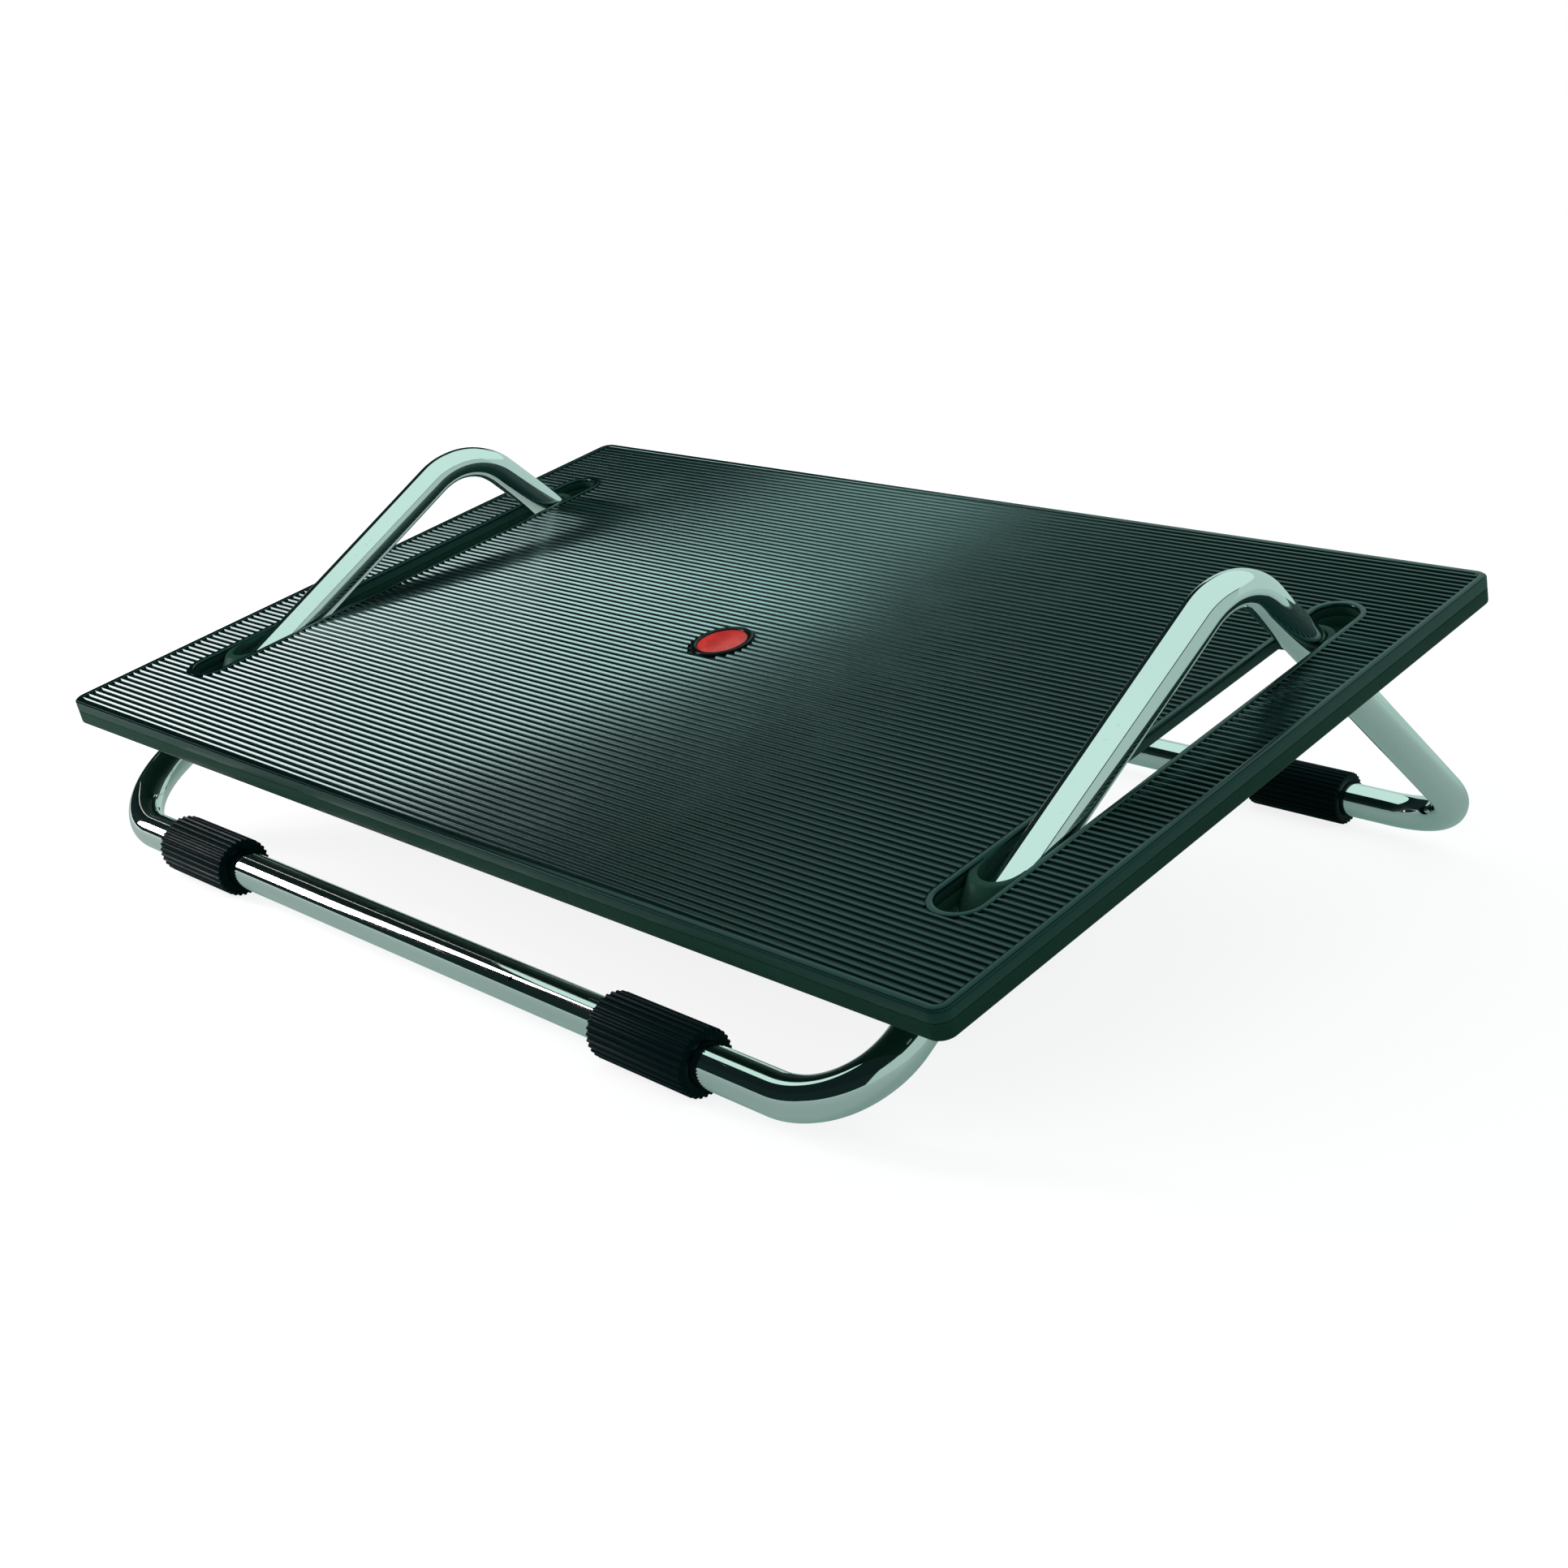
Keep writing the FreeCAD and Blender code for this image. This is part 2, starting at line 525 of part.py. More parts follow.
def tray_core():
    """Lower shell: floor, skirt, counterbored screw bosses, slot walls with a window on their inner side."""
    body = new_body("tray_core")
    width, depth = size("plate_width"), size("plate_depth")
    outline = new_sketch(body, "tray_outline")
    draw_round_rectangle(outline, width, depth, size("plate_corner"),
                         "plate_width", "plate_depth", "plate_corner")
    rounded = pad(body, outline, "tray_slab", "seam_height")
    doc.recompute()
    broken = body.newObject("PartDesign::Chamfer", "tray_edge")
    names = ["Edge%d" % k for k, e in enumerate(rounded.Shape.Edges, start=1)
             if max(abs(v.Point.z) for v in e.Vertexes) < 1e-6]
    broken.Base = (rounded, names)
    broken.setExpression("Size", expr("edge_break"))
    body.Tip = broken

    hollow = new_sketch(body, "tray_hollow", height="seam_height")
    draw_hollow(hollow)
    pocket(body, hollow, "tray_hollow_cut", "seam_height - tray_floor")
    slots = new_sketch(body, "tray_slots", height="seam_height")
    for side in (-1, 1):
        draw_slot(slots, side, size("slot_width"), size("slot_length"),
                  "slot_width", "slot_length - slot_width")
    pocket(body, slots, "tray_slot_cut", "seam_height - tray_floor")
    passage = new_sketch(body, "tray_passages", height="seam_height")
    for side in (-1, 1):
        draw_slot(passage, side, size("slot_width"), size("saddle_chord") + 2 * size("saddle_lead"),
                  "slot_width", "saddle_chord + 2 * saddle_lead - slot_width")
    pocket(body, passage, "tray_passage_cut", "seam_height * 2")
    for side in (-1, 1):
        name = "window_right" if side > 0 else "window_left"
        window = new_sketch(body, name, height="seam_height")
        place = "( side_spacing - slot_width / 2 - window_margin ) / 2"
        window.setExpression("AttachmentOffset.Base.x", expr(place if side > 0 else "-" + place))
        window.setExpression("AttachmentOffset.Base.y", expr("( window_front - window_rear ) / 2"))
        draw_round_rectangle(window, size("slot_width") / 2 + size("window_margin"),
                             size("saddle_chord") - size("window_front") - size("window_rear"),
                             size("window_corner"), "slot_width / 2 + window_margin",
                             "saddle_chord - window_front - window_rear", "window_corner")
        pocket(body, window, name + "_cut", "seam_height * 2")
    holes = new_sketch(body, "screw_holes", height="seam_height")
    draw_screw_circles(holes, size("screw_shank") / 2 + size("screw_play"),
                       "screw_shank / 2 + screw_play")
    pocket(body, holes, "screw_hole_cut", "seam_height * 2")
    heads = new_sketch(body, "head_seats")
    draw_screw_circles(heads, size("screw_head") / 2 + size("screw_play"), "screw_head / 2 + screw_play")
    last = pocket(body, heads, "head_seat_cut", "head_seat", reverse=True)
    body.Tip = last
    return body


def base_tray():
    """Tray with a half-pipe saddle at both ends of both slots."""
    parts = [tray_core()]
    for side in (-1, 1):
        hand = "right" if side > 0 else "left"
        for end in (-1, 1):
            name = "saddle_" + ("rear_" if end > 0 else "front_") + hand
            pipe, bore, gate = saddle(name, end, side)
            inside = doc.addObject("Part::Common", name + "_inside")
            inside.Base = pipe
            inside.Tool = slot_prism(name + "_slot", side)
            open_pipe = doc.addObject("Part::Cut", name + "_half")
            open_pipe.Base = inside
            open_pipe.Tool = bore
            done = doc.addObject("Part::Cut", name)
            done.Base = open_pipe
            done.Tool = gate
            parts.append(done)
    fused = doc.addObject("Part::MultiFuse", "base_tray")
    fused.Shapes = parts
    fused.Label = "base_tray"
    fused.Placement = PLATE_PLACE
    return fused


def turned_body(label, points):
    """Body turned about Z from a half section."""
    body = new_body(label)
    sk = new_sketch(body, label + "_section", "XZ_Plane")
    draw_profile(sk, points)
    turn = body.newObject("PartDesign::Revolution", label + "_turn")
    turn.Profile = sk
    turn.ReferenceAxis = (sk, ["V_Axis"])
    turn.Angle = 360
    body.Tip = turn
    body.Placement = PLATE_PLACE
    return body


def badge_bezel():
    """Round cup with a raised, broken rim."""
    r, ri = size("badge_diameter") / 2, size("inlay_diameter") / 2
    ground = size("plate_height") - size("rib_height")
    z0 = ground - size("badge_seat")
    z1 = z0 + size("badge_floor")
    z2 = size("plate_height") + size("badge_rise")
    f0 = "plate_height - rib_height - badge_seat"
    f1 = f0 + " + badge_floor"
    f2 = "plate_height + badge_rise"
    rf, rif = "badge_diameter / 2", "inlay_diameter / 2"
    b, c = size("bezel_bevel"), size("inlay_bevel")
    return turned_body("badge_bezel", [
        ((0.0, ""), (z0, f0)), ((r, rf), (z0, f0)), ((r, rf), (z2 - b, f2 + " - bezel_bevel")),
        ((r - b, rf + " - bezel_bevel"), (z2, f2)), ((ri + c, rif + " + inlay_bevel"), (z2, f2)),
        ((ri, rif), (z2 - c, f2 + " - inlay_bevel")), ((ri, rif), (z1, f1)), ((0.0, ""), (z1, f1))])


def badge_inlay():
    """Plain domed disc in the cup."""
    ri, dome = size("inlay_diameter") / 2, size("inlay_dome")
    z1 = size("plate_height") - size("rib_height") - size("badge_seat") + size("badge_floor")
    z2 = size("plate_height") + size("badge_rise") - size("inlay_bevel")
    f1 = "plate_height - rib_height - badge_seat + badge_floor"
    f2 = "plate_height + badge_rise - inlay_bevel"
    points = [((0.0, ""), (z1, f1)), ((ri, "inlay_diameter / 2"), (z1, f1))]
    steps = 6
    for k in range(steps + 1):
        left = 1.0 - k / steps
        rise = 1.0 - left ** 2
        across = (ri * left, "inlay_diameter / 2 * " + str(left)) if k < steps else (0.0, "")
        points.append((across, (z2 + dome * rise, f2 + " + inlay_dome * " + str(rise))))
    return turned_body("badge_inlay", points)


def deck_screws():
    """Pan-head screws that hold the tray to the tread, one shape at every place."""
    shank, head = size("screw_shank") / 2, size("screw_head") / 2
    seat = size("head_seat")
    low = seat - size("head_height")
    tip = size("seam_height") + size("screw_bite") - size("screw_play")
    bevel = size("screw_bevel")
    points = [V3(0, 0, low), V3(head - bevel, 0, low), V3(head, 0, low + bevel), V3(head, 0, seat),
              V3(shank, 0, seat), V3(shank, 0, tip - bevel), V3(shank - bevel, 0, tip), V3(0, 0, tip)]
    face = Part.Face(Part.makePolygon(points + points[:1]))
    one = face.revolve(V3(0, 0, 0), V3(0, 0, 1), 360)
    span, width, depth = size("drive_span"), size("drive_width"), size("drive_depth")
    drive = Part.makeBox(span, width, 2 * depth, V3(-span / 2, -width / 2, low - depth))
    cross = drive.copy()
    cross.rotate(V3(0, 0, 0), V3(0, 0, 1), 90)
    one = one.cut(drive.fuse(cross))
    copies = []
    for place in SCREW_PLACES:
        x, y = screw_xy(place)
        copies.append(one.translated(V3(x, y, 0)))
    screws = doc.addObject("Part::Feature", "deck_screws")
    screws.Shape = Part.makeCompound(copies)
    screws.Label = "deck_screws"
    screws.Placement = PLATE_PLACE
    return screws


JOINT_X = -size("joint_place")
nodes = [
    tube_half("frame_left", -1, JOINT_X),
    tube_half("frame_right", 1, JOINT_X),
    spigot("front_spigot", -1),
    spigot("rear_spigot", 1),
    sleeve("sleeve_front_left", -1, -1),
    sleeve("sleeve_front_right", 1, -1),
    sleeve("sleeve_rear_left", -1, 1),
    sleeve("sleeve_rear_right", 1, 1),
    tread_plate(),
    base_tray(),
    badge_bezel(),
    badge_inlay(),
    deck_screws(),
]
doc.recompute()

for obj in doc.Objects:
    if "Invalid" in obj.State or "Error" in obj.State:
        raise RuntimeError("feature did not build: " + obj.Name)

os.makedirs("parts", exist_ok=True)
for obj in nodes:
    shape = obj.Shape
    if shape.isNull() or not shape.isValid():
        raise RuntimeError("shape is not valid: " + obj.Label)
    box = shape.BoundBox
    print("%-20s solids %d volume %10.1f  x %.1f %.1f  y %.1f %.1f  z %.1f %.1f" % (
        obj.Label, len(shape.Solids), shape.Volume,
        box.XMin, box.XMax, box.YMin, box.YMax, box.ZMin, box.ZMax))
    shape.exportStep(os.path.join("parts", obj.Label + ".step"))

print("plate middle at rest y %.4f z %.4f" % (REST_Y, REST_Z))
print("turning point y %.4f z %.4f" % turning_point(size("rest_tilt"), 0.0))
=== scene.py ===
import math

import bmesh
import bpy
import numpy as np
from mathutils import Matrix, Vector
from mathutils.geometry import tessellate_polygon


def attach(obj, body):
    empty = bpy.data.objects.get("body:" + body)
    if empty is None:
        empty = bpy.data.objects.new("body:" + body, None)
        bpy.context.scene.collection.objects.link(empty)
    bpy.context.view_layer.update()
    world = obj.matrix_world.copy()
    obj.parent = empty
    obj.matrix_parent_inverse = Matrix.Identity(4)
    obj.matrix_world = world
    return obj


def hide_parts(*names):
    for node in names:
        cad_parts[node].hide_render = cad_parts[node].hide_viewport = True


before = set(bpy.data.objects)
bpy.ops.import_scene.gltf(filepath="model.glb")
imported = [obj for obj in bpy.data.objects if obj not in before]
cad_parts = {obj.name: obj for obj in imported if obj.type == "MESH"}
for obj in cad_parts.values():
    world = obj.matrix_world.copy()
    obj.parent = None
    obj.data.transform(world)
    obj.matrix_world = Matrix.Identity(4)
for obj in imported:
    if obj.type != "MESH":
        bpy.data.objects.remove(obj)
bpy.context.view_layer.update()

MM = 0.001

# Sizes in millimetres, as the solids have them; heights on the plate are taken from its underside

PLATE_WIDTH, PLATE_DEPTH, PLATE_CORNER = 480.0, 300.0, 5.5
PLATE_MIDDLE = (0.0, -32.7207, 81.8824)
TILT = math.radians(14.6)
TRAY_TOP, TREAD_FOOT, FIELD_HEIGHT = 5.82, 5.98, 9.7
RIM_FOOT = 3.1
RIB_PITCH, RIB_COUNT, RIB_END_X, RIB_SINK, RIB_SHORTEST = 3.0, 98, 237.15, 0.03, 2.0
SIDE_X, SLOT_WIDTH, SLOT_LENGTH = 206.5, 16.5, 219.0
LIP_WIDTH, LIP_OVERLAP, BADGE_MARGIN = 2.5, 0.15, 0.9
SEAM_ROUND, TRAY_ROUND = 0.34, 1.15
WINDOW_WIDTH, WINDOW_FRONT, WINDOW_REAR, WINDOW_CORNER = 20.0, -52.0, 88.0, 6.0
PASSAGE, TRAY_FLOOR = 100.5, 1.8
BADGE_RADIUS, BADGE_SEAT, INLAY_RADIUS = 12.25, 8.5, 9.9
SADDLE_REACH, SADDLE_LOW, SADDLE_HIGH, SADDLE_INNER, SADDLE_OUTER = 97.0, 1.5, 9.8, 7.3, 9.9
SCREW_X, SCREW_Y = (-228.0, -62.0, 62.0, 228.0), (-138.0, 138.0)
SCREW_SEAT, SCREW_DEPTH, SCREW_EDGE = 3.1, 2.7, 0.25

TUBE_RADIUS, TUBE_WALL, LEG_RUN, LEG_RISE = 7.0, 1.2, 179.5, 132.6
FRONT_BEND, REAR_BEND, APEX_BEND = 30.0, 40.0, 32.0
BEND_FLATTER, BEND_WIDER, BEND_EASE = 0.055, 0.015, 0.28
LEG_SLOPE = math.atan2(LEG_RISE, LEG_RUN)
VENT = (59.0, -184.86, 15.5)
SLEEVE_RADIUS, SLEEVE_LENGTH = 11.0, 43.5
SLEEVE_X = {"left": -134.0, "right": 125.0}
FLUTES, FLUTE_DEPTH, FLUTE_HALF_WIDTH, FLUTE_STEPS = 32, 0.62, 0.78, 12


# Mesh helpers

def on_plate(points):
    """Plate points (across, front to rear, up) in mm, tilted and moved to where the plate rests, in m."""
    x, y, z = points[..., 0], points[..., 1], points[..., 2]
    c, s = math.cos(TILT), math.sin(TILT)
    return np.stack([x, PLATE_MIDDLE[1] + y * c - z * s, PLATE_MIDDLE[2] + y * s + z * c], -1) * MM


def placed(parts):
    """Several surfaces moved from plate points to the frame."""
    return [(on_plate(points), faces) for points, faces in parts]


def quads_over(index):
    """Quads between neighbouring rows and columns of a table of vertex numbers."""
    return np.stack([index[:-1, :-1], index[1:, :-1], index[1:, 1:], index[:-1, 1:]], -1).reshape(-1, 4)


def grid(points, close_rows=False, close_columns=False):
    """Surface over a rows by columns table of points, closed into a ring either way if asked."""
    rows, columns = points.shape[:2]
    index = np.arange(rows * columns).reshape(rows, columns)
    if close_rows:
        index = np.vstack([index, index[:1]])
    if close_columns:
        index = np.hstack([index, index[:, :1]])
    return points.reshape(-1, 3), quads_over(index)


def disc(loop):
    """Fan of triangles from the middle of a closed loop."""
    count = len(loop)
    middle = loop.mean(0, keepdims=True)
    ring = np.arange(count)
    return np.vstack([loop, middle]), np.stack([ring, np.roll(ring, -1), np.full(count, count)], -1)


def flat_with_holes(loops):
    """Triangles between an outer loop and the holes in it, all in one plane."""
    outline = [[Vector((float(x), float(y), 0.0)) for x, y in loop[:, :2]] for loop in loops]
    triangles = np.array(tessellate_polygon(outline), dtype=int)
    return np.vstack(loops), triangles


def turned(profile, steps=128):
    """Profile of (radius, height) turned about the vertical axis: r cos a, r sin a, z."""
    angle = np.linspace(0, 2 * math.pi, steps, endpoint=False)[None, :]
    r, z = np.array(profile, float).T[:, :, None]
    return np.stack([r * np.cos(angle), r * np.sin(angle), z + 0 * angle], -1)


def piece(name, parts, material, body, replaced, sharp=35.0):
    """One mesh object from several surfaces; shared edges are welded and every face turned outwards."""
    vertices, faces, base = [], [], 0
    for points, polygons in parts:
        vertices.append(points)
        faces += (polygons + base).tolist()
        base += len(points)
    mesh = bpy.data.meshes.new(name)
    mesh.from_pydata(np.vstack(vertices), [], faces)
    bm = bmesh.new()
    bm.from_mesh(mesh)
    bmesh.ops.remove_doubles(bm, verts=bm.verts, dist=2e-6)
    bmesh.ops.dissolve_degenerate(bm, edges=bm.edges, dist=1e-7)
    bmesh.ops.recalc_face_normals(bm, faces=bm.faces)
    bm.to_mesh(mesh)
    bm.free()
    mesh.shade_smooth()
    mesh.set_sharp_from_angle(angle=math.radians(sharp))
    mesh.materials.append(material)
    obj = bpy.data.objects.new(name, mesh)
    bpy.context.collection.objects.link(obj)
    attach(obj, body)
    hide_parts(replaced)


# Outlines on the plate

def plate_loop(inset, steps=12):
    """Round-cornered rectangle, drawn in from the plate's edge by the inset."""
    a, b = PLATE_WIDTH / 2 - PLATE_CORNER, PLATE_DEPTH / 2 - PLATE_CORNER
    r = PLATE_CORNER - inset
    angle = np.linspace(0, math.pi / 2, steps)
    corners = []
    for turn, (sx, sy) in enumerate(((1, 1), (-1, 1), (-1, -1), (1, -1))):
        t = angle + turn * math.pi / 2
        corners.append(np.stack([sx * a + r * np.cos(t), sy * b + r * np.sin(t)], -1))
    return np.vstack(corners)


def slot_loop(side, grow, steps=32):
    """Round-ended slot outline, made larger by grow all round."""
    r, reach = SLOT_WIDTH / 2 + grow, (SLOT_LENGTH - SLOT_WIDTH) / 2
    angle = np.linspace(0, math.pi, steps)
    top = np.stack([r * np.cos(angle), reach + r * np.sin(angle)], -1)
    return np.vstack([top, -top]) + np.array([side * SIDE_X, 0.0])


def window_loop(side, grow, half_length, steps=10):
    """Outline of one slot together with the window beside it, made larger by grow all round.

    Drawn with u from the slot's middle towards the plate's middle and v from front to rear.
    """
    r, reach = SLOT_WIDTH / 2 + grow, half_length - SLOT_WIDTH / 2
    turn = np.linspace(math.pi, 0, 3 * steps)
    rear = np.stack([r * np.cos(turn), reach + r * np.sin(turn)], -1)
    bend = np.linspace(math.pi / 2, 0, steps)
    radius, inner = WINDOW_CORNER + grow, WINDOW_WIDTH - WINDOW_CORNER
    corner = np.stack([inner + radius * np.cos(bend), radius * np.sin(bend)], -1)
    upper = corner + np.array([0.0, WINDOW_REAR - WINDOW_CORNER])
    lower = corner[::-1] * np.array([1.0, -1.0]) + np.array([0.0, WINDOW_FRONT + WINDOW_CORNER])
    rear_neck, front_neck = [[r, WINDOW_REAR + grow]], [[r, WINDOW_FRONT - grow]]
    front = rear[::-1] * np.array([1.0, -1.0])
    loop = np.vstack([rear, rear_neck, upper, lower, front_neck, front])
    return np.stack([side * (SIDE_X - loop[:, 0]), loop[:, 1]], -1)


def circle_loop(x, y, radius, steps=48):
    """Circle about a point on the plate."""
    angle = np.linspace(0, 2 * math.pi, steps, endpoint=False)
    return np.stack([x + radius * np.cos(angle), y + radius * np.sin(angle)], -1)


def at_height(loop, z):
    """Outline lifted to one height."""
    return np.concatenate([loop, np.full((len(loop), 1), z)], -1)


def edge_band(loop_of, profile):
    """Band whose rows are one outline, offset and raised along a profile of (offset, height)."""
    return grid(np.stack([at_height(loop_of(offset), z) for offset, z in profile]), close_columns=True)


# Tread: skirt, rim, slot lips, badge seat and ribs

def tread_skin():
    """Skirt and rim, slot lips, badge seat, the low field between them and a closed underside.

    Skirt, lips and seat are bands along the plate's, the slots' and the badge's outlines. The field and
    the underside are flat, with holes where the bands stand.
    """
    skirt = [(SEAM_ROUND, TREAD_FOOT), (0.1, 6.05), (0.0, 6.3), (0.0, 9.68), (0.08, 9.92), (0.26, 10.04),
             (0.42, 10.05), (0.46, 9.82), (0.56, 9.82), (0.6, 10.2), (0.68, 10.4), (0.88, 10.5),
             (2.72, 10.5), (2.92, 10.44), (3.04, 10.28), (RIM_FOOT, FIELD_HEIGHT)]
    lip = [(LIP_WIDTH, FIELD_HEIGHT), (2.46, 10.3), (2.34, 10.48), (2.1, 10.56), (0.72, 10.56),
           (0.34, 10.48), (0.1, 10.26), (0.0, 9.9), (0.0, 6.3), (0.1, 6.05), (SEAM_ROUND, TREAD_FOOT)]
    seat = [(BADGE_RADIUS, FIELD_HEIGHT), (BADGE_RADIUS, BADGE_SEAT)]
    badge = circle_loop(0, 0, BADGE_RADIUS)
    parts = [edge_band(plate_loop, skirt)]
    for side in (-1, 1):
        parts.append(edge_band(lambda grow: slot_loop(side, grow), lip))
    parts.append(edge_band(lambda r: circle_loop(0, 0, r), seat))
    parts.append(disc(at_height(badge, BADGE_SEAT)))
    field = [plate_loop(RIM_FOOT), slot_loop(-1, LIP_WIDTH), slot_loop(1, LIP_WIDTH), badge]
    parts.append(flat_with_holes([at_height(loop, FIELD_HEIGHT) for loop in field]))
    under = [plate_loop(SEAM_ROUND), slot_loop(-1, SEAM_ROUND), slot_loop(1, SEAM_ROUND)]
    parts.append(flat_with_holes([at_height(loop, TREAD_FOOT) for loop in under]))
    return parts


def rib_spans():
    """Start, end and place of each length of rib: a row is cut where a lip or the badge is in its way.

    A cut is as long as the chord of the lip's round end, or of the badge's circle, at that row.
    """
    rows = (np.arange(RIB_COUNT) - (RIB_COUNT - 1) / 2) * RIB_PITCH
    reach = (SLOT_LENGTH - SLOT_WIDTH) / 2
    r_slot = SLOT_WIDTH / 2 + LIP_WIDTH - LIP_OVERLAP
    over = np.clip(np.abs(rows) - reach, 0, None)
    slot_half = np.sqrt(np.clip(r_slot ** 2 - over ** 2, 0, None))
    badge_half = np.sqrt(np.clip((BADGE_RADIUS + BADGE_MARGIN) ** 2 - rows ** 2, 0, None))
    spans = []
    for y, w, b in zip(rows, slot_half, badge_half):
        left = [(-SIDE_X - w, -SIDE_X + w)] if w > 0 else []
        middle = [(-b, b)] if b > 0 else []
        right = [(SIDE_X - w, SIDE_X + w)] if w > 0 else []
        edges = [-RIB_END_X] + [x for cut in left + middle + right for x in cut] + [RIB_END_X]
        spans += [(a, c, y) for a, c in zip(edges[::2], edges[1::2]) if c - a > RIB_SHORTEST]
    return np.array(spans)


def ribs():
    """Every rib at once: a flat-topped section with sloping flanks, carried along each length.

    The section starts a little below the field and drops to nothing at both ends, inside the rim and lips.
    """
    section_y = np.array([-1.11, -0.58, -0.51, -0.4, 0.0, 0.4, 0.51, 0.58, 1.11])
    section_z = np.array([0.0, 0.65, 0.72, 0.75, 0.76, 0.75, 0.72, 0.65, 0.0])
    share = np.array([0.0, 1.0, 1.0, 0.0])
    spans = rib_spans()
    a, b, y = spans[:, 0:1], spans[:, 1:2], spans[:, 2]
    along = np.hstack([a, a + RIB_SINK, b - RIB_SINK, b])
    shape = along.shape + (len(section_y),)
    x = np.broadcast_to(along[:, :, None], shape)
    yy = np.broadcast_to(y[:, None, None] + section_y[None, None, :], shape)
    z = np.broadcast_to(FIELD_HEIGHT - RIB_SINK + section_z[None, None, :] * share[None, :, None], shape)
    points = np.stack([x, yy, z], -1)
    count, rows, columns = shape
    start = (np.arange(count) * rows * columns)[:, None, None]
    index = np.arange(rows * columns).reshape(rows, columns)
    under = np.stack([index[:-1, -1], index[1:, -1], index[1:, 0], index[:-1, 0]], -1)
    quads = np.concatenate([quads_over(index), under])[None] + start
    return points.reshape(-1, 3), quads.reshape(-1, 4)


# Tray: lower skirt, floor with screw seats, slot walls and the four saddles

def tray_skin():
    """Lower skirt, walls of the slots and windows, screw seats, the flat underside and a closed top.

    Skirt, walls and seats are bands along the plate's, the windows' and the screws' outlines. Above the
    floor the walls reach the full length of the slot, so the floor shows there as a ledge.
    """
    skirt = [(TRAY_ROUND, 0.0), (0.72, 0.07), (0.34, 0.3), (0.09, 0.65), (0.0, 1.05), (0.0, 5.5),
             (0.1, 5.75), (SEAM_ROUND, TRAY_TOP)]
    lower = [(0.5, 0.0), (0.2, 0.1), (0.04, 0.3), (0.0, 0.6), (0.0, 1.5), (0.1, 1.75), (0.3, TRAY_FLOOR)]
    upper = [(0.0, TRAY_FLOOR), (0.0, 5.5), (0.1, 5.75), (SEAM_ROUND, TRAY_TOP)]
    wall = [(PASSAGE, *row) for row in lower] + [(SLOT_LENGTH / 2, *row) for row in upper]
    seat = [(SCREW_SEAT + SCREW_EDGE, 0.0), (SCREW_SEAT, SCREW_EDGE), (SCREW_SEAT, SCREW_DEPTH)]
    parts = [edge_band(plate_loop, skirt)]
    for side in (-1, 1):
        rows = [at_height(window_loop(side, grow, reach), z) for reach, grow, z in wall]
        parts.append(grid(np.stack(rows), close_columns=True))
    holes = []
    for x in SCREW_X:
        for y in SCREW_Y:
            parts.append(edge_band(lambda r: circle_loop(x, y, r), seat))
            parts.append(disc(at_height(circle_loop(x, y, SCREW_SEAT), SCREW_DEPTH)))
            holes.append(circle_loop(x, y, SCREW_SEAT + SCREW_EDGE))
    windows = [window_loop(side, lower[0][0], PASSAGE) for side in (-1, 1)]
    under = [plate_loop(TRAY_ROUND)] + windows + holes
    parts.append(flat_with_holes([at_height(loop, 0.0) for loop in under]))
    top = [plate_loop(SEAM_ROUND)] + [window_loop(side, SEAM_ROUND, SLOT_LENGTH / 2) for side in (-1, 1)]
    parts.append(flat_with_holes([at_height(loop, TRAY_TOP) for loop in top]))
    return parts


def saddle(side, end):
    """Half pipe whose straight lines run along the steeper leg and are cut level below and above.

    At each level its section, an inner and an outer half circle, is pushed along the plate by the height
    over the tangent of the leg's angle to the plate. The end edges are drawn in to round them.
    """
    turn = LEG_SLOPE + TILT
    phi = np.linspace(-math.pi / 2, math.pi / 2, 33)
    inner = np.stack([SADDLE_INNER * np.sin(phi), SADDLE_INNER * np.cos(phi)], -1)
    outer = np.stack([SADDLE_OUTER * np.sin(phi), SADDLE_OUTER * np.cos(phi)], -1)
    half = SLOT_WIDTH / 2 + 0.05
    outer[:, 0] = np.clip(outer[:, 0], -half, half)
    loop = np.vstack([inner, outer[::-1]])
    middle = (inner + outer) / 2
    middle = np.vstack([middle, middle[::-1]])
    levels = np.array([SADDLE_LOW, SADDLE_LOW + 0.2, SADDLE_HIGH - 0.55, SADDLE_HIGH - 0.18, SADDLE_HIGH])
    draw_in = np.array([0.15, 0.0, 0.0, 0.14, 0.42])
    offset = loop[None] + (middle - loop)[None] * draw_in[:, None, None]
    x, o = offset[..., 0], offset[..., 1] - SADDLE_INNER
    z = np.broadcast_to(levels[:, None], x.shape)
    back = SADDLE_REACH - (z - SADDLE_LOW - o * math.cos(turn)) / math.tan(turn) + o * math.sin(turn)
    points = np.stack([side * SIDE_X + x, end * back, z], -1)
    n = len(phi)
    strip = np.arange(n - 1)
    lid = np.stack([strip, strip + 1, 2 * n - 2 - strip, 2 * n - 1 - strip], -1)
    return [grid(points, close_columns=True), (points[0], lid), (points[-1], lid)]


# Badge

def badge_ring():
    """Cup with a rounded rim: a profile of (radius, height) turned about the upright axis."""
    profile = [(12.2, 8.55), (12.2, 10.35), (12.14, 10.62), (11.95, 10.82), (11.6, 10.92), (10.9, 10.92),
               (10.45, 10.84), (10.12, 10.66), (9.96, 10.42), (9.92, 9.35)]
    return [grid(turned(profile), close_columns=True),
            disc(turned(profile[:1])[0]), disc(turned(profile[-1:])[0])]


